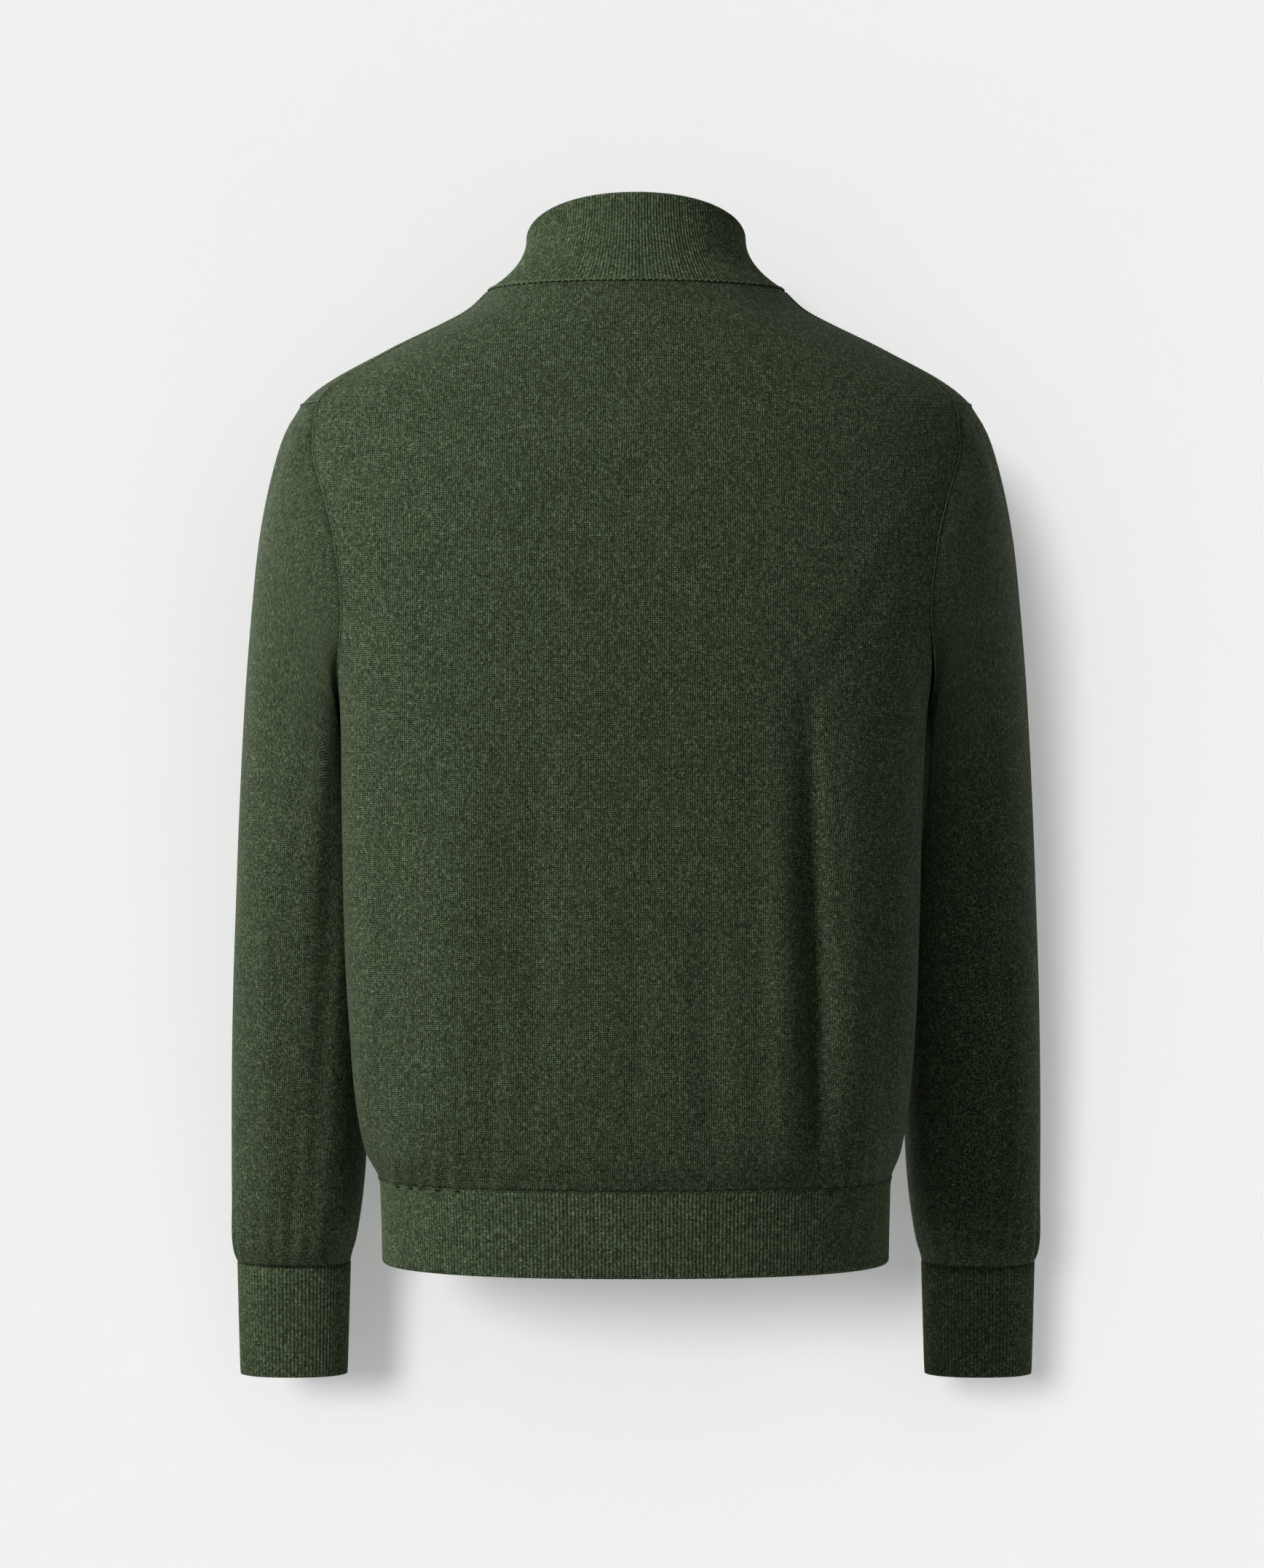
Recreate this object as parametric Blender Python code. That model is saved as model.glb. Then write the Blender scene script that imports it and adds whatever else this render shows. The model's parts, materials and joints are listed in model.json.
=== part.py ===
"""A quarter zip sweater, worn and hollow: the construction.

Front faces -Y, the back faces +Y and +Z is up. The wearer's left is at +X. The origin is at
the middle of the neck, level with the back neckline. Sizes are in millimetres until a mesh
is made, and a mesh is in metres.
"""

from bisect import bisect_right
from collections import namedtuple
from math import asin, cos, pi, radians, sin

import bmesh
import bpy
from mathutils import Matrix, Vector

MM = 0.001

# Driving sizes
SEAM_GAP = 0.3  # between neighbouring pieces
EDGE_TRIM = 0.18  # a body panel's edge stands this far back from the middle of its seam
BODY_CLOTH = 1.7  # wall of the back, front and sleeves
BAND_CLOTH = 2.4  # wall of the hem band and cuffs, under the ribs
COLLAR_CLOTH = 3.0  # the collar is folded double
COLLAR_PROUD = 1.0  # the collar stands this far outside the neckline it is linked to
RIB_RAISE = 0.5

NECK_LEVEL = -4.0  # back neckline
NECK_DROP = 44.0  # front neckline below the back one
NECK_CURVE = 1.6  # how late round the neck the drop comes
HEM_SEAM_LEVEL = -609.0
HEM_LEVEL = -666.0
UNDERARM_LEVEL = -300.0
SHOULDER_END_LEVEL = -82.0  # where the shoulder seam meets the armhole
ZIP_END_LEVEL = -200.0
ZIP_SLIT = 9.0

HEM_RIBS = 208
CUFF_RIBS = 84
COLLAR_RIBS = 104
RIBS_PER_INNER_FACE = 4  # the plain inside of a ribbed wall has one face for this many ribs

BACK, FRONT = radians(90), radians(-90)
STEP = 1e-3  # of an angle, a level or a rise, to measure a slope

# Horizontal sections of the body, from the neck down. half_left and half_right are half
# widths, back and front the depths, widest the depth at which a section is widest. The
# powers say how boxy a section is: 2 is an ellipse.
Section = namedtuple(
    "Section", "level half_left half_right back front widest back_power front_power"
)
SECTIONS = (
    Section(6, 88, 88, 56, -56, 0, 2.1, 2.0),
    Section(-4, 101, 101, 62, -60, 0, 2.1, 2.0),
    Section(-17.5, 116, 116, 69, -65, -1, 2.1, 2.0),
    Section(-27.5, 134, 134, 74, -69, -1, 2.1, 2.0),
    Section(-47.5, 177, 177, 81, -76, -2, 2.1, 2.0),
    Section(-67.5, 213, 213, 88, -85, -2, 2.15, 2.0),
    Section(-84, 231, 231, 93, -92, -2, 2.2, 2.0),
    Section(-100, 234, 234, 99, -100, 3, 2.25, 2.0),
    Section(-120, 232, 232, 105, -107, 10, 2.3, 2.05),
    Section(-141, 231, 231, 109, -114, 15, 2.35, 2.1),
    Section(-180, 226, 226, 115, -125, 24, 2.4, 2.15),
    Section(-233, 210, 210, 118, -128, 31, 2.5, 2.15),
    Section(-270, 202, 200, 117, -127, 34, 2.55, 2.15),
    Section(-300, 199.5, 196, 115, -125, 35, 2.6, 2.1),
    Section(-350, 199, 193.5, 112, -122, 35, 2.6, 2.1),
    Section(-450, 197, 191, 112, -120, 33, 2.6, 2.1),
    Section(-505, 194, 189, 115, -121, 30, 2.6, 2.1),
    Section(-556, 190, 185, 118, -124, 24, 2.6, 2.1),
    Section(-590, 184, 180, 117, -123, 16, 2.5, 2.1),
    Section(-609, 175.5, 174, 112, -118, 6, 2.4, 2.1),
    Section(-625, 174, 173, 111, -117, 5, 2.4, 2.1),
    Section(-670, 172.8, 172, 110, -116, 5, 2.4, 2.1),
)

# The armhole, up from the underarm: depth of its back and of its front edge by level.
Armhole = namedtuple("Armhole", "level back front")
ARMHOLE = (
    Armhole(-300, -8, -8),
    Armhole(-292, 18, -30),
    Armhole(-270, 50, -50),
    Armhole(-233, 72, -62),
    Armhole(-180, 75, -62),
    Armhole(-141, 62, -51),
    Armhole(-118, 50, -40),
    Armhole(-100, 45, -24),
    Armhole(-82, 37, -2),
)

ARMHOLE_WAIST = -200  # where the armhole is deepest from back to front

# The shoulder seam lies behind the top of the shoulder: its depth by level.
Seam = namedtuple("Seam", "level depth")
SHOULDER_SEAM = (
    Seam(-82, 37),
    Seam(-66, 31),
    Seam(-48, 25),
    Seam(-28, 17),
    Seam(-4, 10),
)
SIDE_SEAM = (
    Seam(-300, -8),
    Seam(-450, -8),
    Seam(-590, -5),
    Seam(-609, -5),
)

# Levels of the cloth's rows
BODY_ROWS = (-608.7, -600, -588, -572, -545, -500, -440, -370)
ARMHOLE_ROWS = (-300, -295, -283, -260, -231, -200, -171, -142, -112, -82)
SHOULDER_ROWS = (-66, -48, -30, -15, -4)
SHOULDER_STEPS = 3  # columns of the front that reach back over the shoulder's top

# The left sleeve, from the armhole down: each oval section spans from its outer to its inner
# point, with the middle of its depth and half its depth.
Oval = namedtuple("Oval", "row outer_x outer_z inner_x inner_z middle half_depth")
SLEEVE = (
    Oval(0, 229, -82, 191, -300, 4, 68),
    Oval(1, 241, -102, 194.3, -303, 2, 68),
    Oval(2, 250.8, -133, 194, -309, -3, 67),
    Oval(3, 258.5, -170, 192.5, -318, -10, 65),
    Oval(4, 263.9, -212, 190, -332, -18, 63),
    Oval(5, 269.4, -265, 187, -352, -28, 61),
    Oval(6, 273.3, -315, 184.5, -376, -36, 58.5),
    Oval(7, 276.6, -370, 183.5, -412, -43, 55),
    Oval(8, 279.3, -425, 184, -455, -49, 51.5),
    Oval(9, 282, -488, 185.5, -505.5, -55, 48),
    Oval(10, 283.5, -550, 187.5, -558, -60, 44.5),
    Oval(11, 284, -605.5, 190, -607.6, -64, 41.5),
    Oval(12, 284, -641.2, 193.4, -641.2, -66, 39),
    Oval(13, 283.1, -661, 197, -661, -67, 36),
    Oval(14, 281.6, -672.1, 200, -672.1, -67.5, 32),
    Oval(15, 280.1, -676.8, 201.2, -676.8, -67.5, 29),
)
SLEEVE_POWER = 2.2
SLEEVE_EASE_ROWS = 4  # rows over which the armhole's own shape eases into the ovals
SLEEVE_EVEN_ROWS = 8  # rows over which its columns become half as uneven as at the armhole
SLEEVE_CLEAR = 1.2  # between a sleeve and the body it hangs against
SLEEVE_SOFT = 3.0  # how gently the sleeve bends where the body holds it off

CUFF = (
    Oval(0, 280.1, -677.1, 201.2, -677.1, -67.5, 27),
    Oval(1, 278.4, -748.5, 203.4, -748.5, -69.5, 23),
    Oval(2, 277.5, -755, 204.3, -755, -69.5, 22),
)

# Rim of the collar, tilted down to the front, and how its side flares out to the neckline
RIM_HALF_WIDTH = 74.0
RIM_BACK, RIM_FRONT = 45.0, -61.0
RIM_BACK_LEVEL, RIM_FRONT_LEVEL = 58.0, 10.0
RIM_POWER = 2.1  # how boxy the rim is
COLLAR_FLARE = 2.4
COLLAR_TURN_IN = 0.1  # rise over which the collar's cloth turns from the body's slope to its own
RIM_ROUND = 0.6  # how much of each face the rim's rounding takes off

# Soft folds of the body: a ridge has a positive height, a valley a negative one. x_top and
# x_low are where it starts and ends, half_width is to where it fades out.
Fold = namedtuple("Fold", "x_top top x_low low half_width height")
BACK_FOLDS = (
    Fold(112, -270, 128, -590, 42, 4.0),
    Fold(-112, -250, -122, -600, 15, -6.5),
    Fold(-91, -250, -98, -600, 15, 3.0),
    Fold(-143, -270, -146, -600, 17, 3.5),
    Fold(64, -250, 66, -590, 20, -2.0),
    Fold(-44, -380, -50, -600, 18, -2.0),
)
FRONT_FOLDS = (
    Fold(104, -270, 118, -600, 22, -4.5),
    Fold(76, -290, 86, -600, 20, 3.0),
    Fold(-96, -260, -112, -600, 24, -4.5),
    Fold(-128, -300, -138, -600, 18, 3.0),
)
FOLD_FADE = 0.6  # how fast a fold rises from its ends: 0 is at once
GATHER_TOP = -568  # where the gathers over the hem seam fade out
GATHER_HALF_WIDTH = 4.6
GATHER_HEIGHT = 1.6
BACK_GATHERS = (119, 132, 142, 151, 160, -125, -134, -142, -150, -158)
FRONT_GATHERS = (114, 126, 138, 149, -118, -130, -141, -151)
CUFF_GATHER_ROW, CUFF_GATHER_HEIGHT, CUFF_GATHER_DIP = 13, 1.6, -0.48

# Columns of the body's cloth as x at the hem, closer together where it gathers
BACK_COLUMNS = (0, 20, 40, 60, 80, 98, 110, 115, 119.5, 125, 131, 136.5, 142, 147, 151, 156, 160, 170)
FRONT_COLUMNS = (4.5, 22, 42, 62, 82, 98, 109, 114, 120, 126, 132, 138, 143.5, 149, 155, 172)

# The zip, closed, with its slider at the top
TAPE_DEPTH, TAPE_THICK = 2.35, 0.8  # below the cloth's outer face
TAPE_WIDTH = 13.0
TAPE_TOP_RISE = 0.97  # on the collar
CHAIN_WIDTH, CHAIN_DEPTH, CHAIN_THICK = 5.5, 0.9, 2.2
STOP_LENGTH, STOP_PROUD = 3.2, 0.2
STOP_GAP, STOP_CLEAR = 0.4, 2.4  # up to the chain, and about to the end of the slit
SLIDER_WIDTH, SLIDER_LENGTH, SLIDER_PLATE = 8.2, 11.0, 1.2
SLIDER_BELOW_RIM = 9.0  # middle of the slider, along the collar
POST_WIDTH, POST_LENGTH, POST_INSET = 2.4, 2.6, 0.4
ARCH_WIDTH, ARCH_RADIUS, ARCH_HOLE, ARCH_RISE, ARCH_SINK = 2.2, 2.1, 1.25, 1.7, 0.4
TAB_WIDTH, TAB_LENGTH, TAB_THICK = 5.5, 22.0, 1.4
TAB_BAR, TAB_EYE_END, TAB_EYE_WIDTH = 0.6, 3.4, 2.9
TAB_LEAN = radians(9)  # the tab leans out over the collar's flare


# ---------------------------------------------------------------- form


def at(rows, place):
    """The row at this place, on a smooth curve through each column of a table."""
    keys = [row[0] for row in rows]
    sign = 1 if keys[-1] > keys[0] else -1
    i = min(max(bisect_right([sign * key for key in keys], sign * place) - 1, 0), len(rows) - 2)

    def slope(j, column):
        low, high = max(j - 1, 0), min(j + 1, len(rows) - 1)
        return (rows[high][column] - rows[low][column]) / (keys[high] - keys[low])

    span = keys[i + 1] - keys[i]
    t = (place - keys[i]) / span
    values = []
    for column in range(len(rows[0])):
        start, end = rows[i][column], rows[i + 1][column]
        lean = slope(i, column) * span * (t**3 - 2 * t**2 + t)
        lean += slope(i + 1, column) * span * (t**3 - t**2)
        values.append(start + (end - start) * (3 * t**2 - 2 * t**3) + lean)
    return type(rows[0])(*values)


def boxy(angle, power):
    """Cosine and sine pushed out from a circle towards a square."""
    reach = (abs(cos(angle)) ** power + abs(sin(angle)) ** power) ** (-1 / power)
    return reach * cos(angle), reach * sin(angle)


def section_point(level, angle):
    """A point of the plain body: angle 0 is the left side, 90 degrees the back."""
    section = at(SECTIONS, level)
    to_back = sin(angle) >= 0
    across, along = boxy(angle, section.back_power if to_back else section.front_power)
    half = section.half_left if across >= 0 else section.half_right
    depth = section.back - section.widest if to_back else section.widest - section.front
    return Vector((half * across, section.widest + depth * along, level))


def normal_of(surface, first, second):
    """The outward normal of surface(first, second) where first is a height and second an angle."""
    along = surface(first, second + STEP) - surface(first, second - STEP)
    up = surface(first + STEP, second) - surface(first - STEP, second)
    return along.cross(up).normalized()


def hump(distance):
    """1 at the middle, fading smoothly to 0 at a distance of 1."""
    return cos(distance * pi / 2) ** 2 if abs(distance) < 1 else 0


def fold_height(point):
    """How far the folds and gathers lift the cloth at a point of the plain body."""
    to_back = point.y > 0
    height = 0
    for fold in BACK_FOLDS if to_back else FRONT_FOLDS:
        along = (fold.top - point.z) / (fold.top - fold.low)
        if 0 < along < 1:
            middle = fold.x_top + (fold.x_low - fold.x_top) * along
            spread = hump((point.x - middle) / fold.half_width)
            height += fold.height * sin(pi * along) ** FOLD_FADE * spread
    if point.z < GATHER_TOP:
        along = (GATHER_TOP - point.z) / (GATHER_TOP - HEM_SEAM_LEVEL)
        for x in BACK_GATHERS if to_back else FRONT_GATHERS:
            height += GATHER_HEIGHT * sin(pi / 2 * along) * hump((point.x - x) / GATHER_HALF_WIDTH)
    return height


def body_point(level, angle, depth=0.0):
    """A point of the body's cloth, this deep under its outer face."""
    plain = section_point(level, angle)
    return plain + normal_of(section_point, level, angle) * (fold_height(plain) - depth)


def angle_at(level, depth):
    """The angle at which the left side of a section of the body reaches a depth."""
    low, high = FRONT, BACK
    for _ in range(40):
        middle = (low + high) / 2
        if section_point(level, middle).y < depth:
            low = middle
        else:
            high = middle
    return low


def neck_level(angle):
    """The level of the neckline, which drops round the front."""
    forward = max(-sin(angle), 0)
    return NECK_LEVEL - NECK_DROP * forward**NECK_CURVE


def rim_point(angle):
    across, along = boxy(angle, RIM_POWER)
    half_depth = (RIM_BACK - RIM_FRONT) / 2
    depth = (RIM_BACK + RIM_FRONT) / 2 + half_depth * along
    share = (depth - RIM_FRONT) / (RIM_BACK - RIM_FRONT)
    level = RIM_FRONT_LEVEL + share * (RIM_BACK_LEVEL - RIM_FRONT_LEVEL)
    return Vector((RIM_HALF_WIDTH * across, depth, level))


def plain_collar(rise, angle):
    """A point of the collar's shape: rise 0 is the neckline and 1 the rim."""
    base, rim = section_point(neck_level(angle), angle), rim_point(angle)
    flare = (1 - rise) ** COLLAR_FLARE if rise < 1 else 0
    plan = rim.lerp(base, flare)
    return Vector((plan.x, plan.y, base.z + (rim.z - base.z) * rise))


def collar_point(rise, angle, depth=0.0):
    """A point of the collar, this deep under the face that continues the body's cloth."""
    normal = normal_of(plain_collar, max(rise, 2 * STEP), angle)
    if rise < COLLAR_TURN_IN:
        body_normal = normal_of(section_point, neck_level(angle), angle)
        normal = body_normal.lerp(normal, rise / COLLAR_TURN_IN).normalized()
    return plain_collar(rise, angle) - normal * depth


# ---------------------------------------------------------------- making solids


def finish(name, bm):
    """Closes a bmesh into an object of this name, in metres."""
    bmesh.ops.recalc_face_normals(bm, faces=bm.faces)
    if bm.calc_volume(signed=True) < 0:
        bmesh.ops.reverse_faces(bm, faces=bm.faces)
    bmesh.ops.scale(bm, vec=(MM, MM, MM), verts=bm.verts)
    mesh = bpy.data.meshes.new(name)
    bm.to_mesh(mesh)
    bm.free()
    mesh.shade_smooth()
    mesh.set_sharp_from_angle(angle=radians(40))
    obj = bpy.data.objects.new(name, mesh)
    bpy.context.scene.collection.objects.link(obj)
    return obj


def wall(name, columns, rows, place, missing=None, tube=False):
    """A cloth wall. place(column, row, inner) gives the points of its outer and inner faces."""
    bm = bmesh.new()
    column_layer = bm.verts.layers.int.new("column")
    row_layer = bm.verts.layers.int.new("row")
    for vert in bmesh.ops.create_grid(bm, x_segments=columns, y_segments=rows, size=1)["verts"]:
        vert[column_layer] = round((vert.co.x + 1) / 2 * columns)
        vert[row_layer] = round((vert.co.y + 1) / 2 * rows)
        vert.co = (vert[column_layer], vert[row_layer], 0)
    if missing:
        gone = [face for face in bm.faces if missing(*face.calc_center_median().xy)]
        bmesh.ops.delete(bm, geom=gone, context="FACES")
    if tube:
        for vert in bm.verts:
            vert[column_layer] %= columns
            turn = 2 * pi * vert[column_layer] / columns
            vert.co = (cos(turn), sin(turn), vert[row_layer])
        bmesh.ops.remove_doubles(bm, verts=bm.verts, dist=1e-4)
    raised = bmesh.ops.extrude_face_region(bm, geom=bm.faces[:], use_keep_orig=True)
    inner = {item for item in raised["geom"] if isinstance(item, bmesh.types.BMVert)}
    for vert in bm.verts:
        vert.co = place(vert[column_layer], vert[row_layer], vert in inner)
    return finish(name, bm)


def sheet(bm, columns, rows, place):
    """A sheet of faces, given back as rows of vertices."""
    made = bmesh.ops.create_grid(bm, x_segments=columns, y_segments=rows, size=1)["verts"]
    lines = [made[row * (columns + 1) : (row + 1) * (columns + 1)] for row in range(rows + 1)]
    for row, line in enumerate(lines):
        for column, vert in enumerate(line):
            vert.co = place(column, row)
    return lines


def close_edge(bm, fine, coarse):
    """Fills between an edge of many vertices and one of few."""
    share = (len(fine) - 1) // (len(coarse) - 1)
    for i, (start, end) in enumerate(zip(coarse, coarse[1:])):
        run = fine[i * share : (i + 1) * share + 1]
        for j, (here, there) in enumerate(zip(run, run[1:])):
            bm.faces.new((start if j < share // 2 else end, here, there))
        bm.faces.new((start, run[share // 2], end))


def ribbed_wall(name, ribs, rows, place, tube=False):
    """A wall with upright ribs raised from its outer face over a plain inside.

    place(turn, row, depth) gives a point at a share of the way round, this deep.
    """
    bm = bmesh.new()
    inner_columns = ribs // RIBS_PER_INNER_FACE

    def outer_point(column, row):
        return place(column / (2 * ribs), row, -RIB_RAISE if column % 2 else 0)

    outer = sheet(bm, 2 * ribs, rows, outer_point)
    inner = sheet(bm, inner_columns, rows, lambda column, row: place(column / inner_columns, row, None))
    close_edge(bm, outer[0], inner[0])
    close_edge(bm, outer[-1], inner[-1])
    if tube:
        bmesh.ops.remove_doubles(bm, verts=bm.verts, dist=1e-3)
    else:
        for side in (0, -1):
            for low, high in zip(range(rows), range(1, rows + 1)):
                bm.faces.new((outer[low][side], outer[high][side], inner[high][side], inner[low][side]))
    return finish(name, bm)


def box(name, size, middle, place):
    """A box of this size round a middle, in a frame."""
    bm = bmesh.new()
    frame = place @ Matrix.Translation(middle) @ Matrix.Diagonal((*size, 1))
    bmesh.ops.create_cube(bm, size=1, matrix=frame)
    return finish(name, bm)


def disc(name, radius, width, middle, place):
    """A round bar across the sweater, in a frame."""
    bm = bmesh.new()
    frame = place @ Matrix.Translation(middle) @ Matrix.Rotation(pi / 2, 4, "Y")
    bmesh.ops.create_cone(
        bm, cap_ends=True, segments=20, radius1=radius, radius2=radius, depth=width, matrix=frame
    )
    return finish(name, bm)


def combine(obj, operation, helper):
    """Adds a Boolean with a helper that is left out of the render."""
    helper.hide_render = True
    helper.display_type = "WIRE"
    helper.hide_set(True)
    modifier = obj.modifiers.new(helper.name, "BOOLEAN")
    modifier.operation = operation
    modifier.object = helper


def material(name, colour, roughness, metallic, objects):
    made = bpy.data.materials.new(name)
    made.use_nodes = True
    shader = made.node_tree.nodes["Principled BSDF"]
    shader.inputs["Base Color"].default_value = (*colour, 1)
    shader.inputs["Roughness"].default_value = roughness
    shader.inputs["Metallic"].default_value = metallic
    for obj in objects:
        obj.data.materials.append(made)


# ---------------------------------------------------------------- seams


def back_edge(level):
    """Depth of the back panel's edge: side seam, armhole, then shoulder seam."""
    if level > SHOULDER_END_LEVEL:
        return at(SHOULDER_SEAM, level).depth
    if level > UNDERARM_LEVEL:
        return at(ARMHOLE, level).back
    return at(SIDE_SEAM, level).depth


def front_edge(level):
    if level > UNDERARM_LEVEL:
        return at(ARMHOLE, level).front
    return at(SIDE_SEAM, level).depth


def armhole_loop():
    """Angle and level of each point round the left armhole: up the back, over and down the front."""
    up = [(level, at(ARMHOLE, level).back) for level in ARMHOLE_ROWS]
    high_back, high_front = at(ARMHOLE, SHOULDER_END_LEVEL)[1:]
    over = [
        (SHOULDER_END_LEVEL, high_back + (high_front - high_back) * step / SHOULDER_STEPS)
        for step in range(1, SHOULDER_STEPS)
    ]
    down = [(level, at(ARMHOLE, level).front) for level in reversed(ARMHOLE_ROWS[1:])]
    return [(level, angle_at(level, depth)) for level, depth in up + over + down]


LOOP = armhole_loop()
LOOP_POINTS = [body_point(level, angle) for level, angle in LOOP]
SHOULDER_TOP = len(ARMHOLE_ROWS) - 1 + SHOULDER_STEPS  # the loop's point on top of the shoulder


def oval_frame(section):
    outer = Vector((section.outer_x, 0, section.outer_z))
    inner = Vector((section.inner_x, 0, section.inner_z))
    middle = (outer + inner) / 2 + Vector((0, section.middle, 0))
    return middle, (outer - inner) / 2


def oval_point(section, turn, grow=0.0):
    """A point of a sleeve's section: turn 0 is its outer side and 90 degrees its back."""
    middle, reach = oval_frame(section)
    across, along = boxy(turn, SLEEVE_POWER)
    wide = reach * (1 + grow / reach.length) * across
    return middle + wide + Vector((0, (section.half_depth + grow) * along, 0))


def loop_turn(point):
    middle, reach = oval_frame(SLEEVE[0])
    away = point - middle
    across = away.dot(reach) / reach.length_squared
    along = away.y / SLEEVE[0].half_depth
    return Vector((1, 0)).angle_signed(Vector((across, along)), 0) * -1


LOOP_TURNS = [loop_turn(point) for point in LOOP_POINTS]


def underarm_level(depth):
    """The level of the armhole's lower edge at this depth."""
    low, high = UNDERARM_LEVEL, ARMHOLE_WAIST
    for _ in range(20):
        middle = (low + high) / 2
        edge = at(ARMHOLE, middle)
        if edge.front < depth < edge.back:
            high = middle
        else:
            low = middle
    return low


def clear_of_body(point):
    """Moves a point of the left sleeve outwards until it is clear of the body beside it."""
    top = underarm_level(point.y)
    if point.z > top - 0.5:
        return point
    section = at(SECTIONS, max(point.z, HEM_LEVEL))
    to_back = point.y > section.widest
    depth = section.back - section.widest if to_back else section.widest - section.front
    power = section.back_power if to_back else section.front_power
    share = min(abs(point.y - section.widest) / depth, 0.98)
    limit = section.half_left * (1 - share**power) ** (1 / power)
    limit += SLEEVE_CLEAR * min(1, (top - point.z) / SLEEVE_SOFT)
    spare = point.x - limit
    if spare < SLEEVE_SOFT:
        eased = max(spare + SLEEVE_SOFT, 0) ** 2 / (4 * SLEEVE_SOFT)
        point = Vector((limit + eased, point.y, point.z))
    return point


def sleeve_point(row, column):
    """A point of the left sleeve's outer face: row 0 is the armhole."""
    section = at(SLEEVE, row)
    turn = LOOP_TURNS[column]
    uneven = (turn - (pi - 2 * pi * column / len(LOOP)) + pi) % (2 * pi) - pi
    turn -= uneven * 0.5 * min(row / SLEEVE_EVEN_ROWS, 1)
    gather = hump((row - CUFF_GATHER_ROW) / 2) * (CUFF_GATHER_HEIGHT if column % 2 else CUFF_GATHER_DIP)
    point = oval_point(section, turn, gather)
    if row < SLEEVE_EASE_ROWS:
        start = oval_point(SLEEVE[0], LOOP_TURNS[column])
        point += (LOOP_POINTS[column] - start) * (1 - row / SLEEVE_EASE_ROWS) ** 2
    return clear_of_body(point) if row > 0 else point


def sleeve_normal(row, column):
    around = sleeve_point(row, (column - 1) % len(LOOP)) - sleeve_point(row, (column + 1) % len(LOOP))
    if row == 0:
        down = sleeve_point(1, column) - sleeve_point(0, column)
    else:
        down = sleeve_point(min(row + 1, len(SLEEVE) - 1), column) - sleeve_point(row - 1, column)
    return down.cross(around).normalized()


def armhole_mitre(column):
    """The direction that the body's and the sleeve's walls share where they meet."""
    level, angle = LOOP[column]
    return (normal_of(section_point, level, angle) + sleeve_normal(0, column)).normalized()


MITRES = [armhole_mitre(column) for column in range(len(LOOP))]


# ---------------------------------------------------------------- pieces


def panel_shares(xs, edge_steps):
    """Each column's share of the way from a panel's edge to its middle, from the middle out."""

    def share_of(x):
        low, high = 0.0, 1.0
        for _ in range(40):
            middle = (low + high) / 2
            if section_point(BODY_ROWS[0], BACK * middle).x > x:
                low = middle
            else:
                high = middle
        return low

    shares = [share_of(x) for x in xs]
    return shares + [shares[-1] * (1 - step / edge_steps) for step in range(1, edge_steps + 1)]


def mirrored(point):
    return Vector((-point.x, point.y, point.z))


def back_panel():
    shares = panel_shares(BACK_COLUMNS, 3)
    half = len(shares) - 1
    levels = BODY_ROWS + ARMHOLE_ROWS + SHOULDER_ROWS
    first_armhole = len(BODY_ROWS)

    def place(column, row, inner):
        left = column >= half
        share = shares[abs(column - half)]
        level = levels[row]
        edge = angle_at(level, back_edge(level))
        angle = edge + (BACK - edge) * share
        thick = BODY_CLOTH if inner else 0
        turn = angle if left else pi - angle
        point = body_point(level, turn)
        if abs(column - half) == half:
            near = edge + 10 * STEP
            towards = body_point(level, near if left else pi - near)
            point += (towards - point).normalized() * EDGE_TRIM
            if inner and first_armhole <= row < first_armhole + len(ARMHOLE_ROWS):
                mitre = MITRES[row - first_armhole]
                return point - (mitre if left else mirrored(mitre)) * thick
        point -= normal_of(section_point, level, turn) * thick
        if row == 0:
            point.z = level
        return point

    return wall("back_panel", 2 * half, len(levels) - 1, place)


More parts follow.
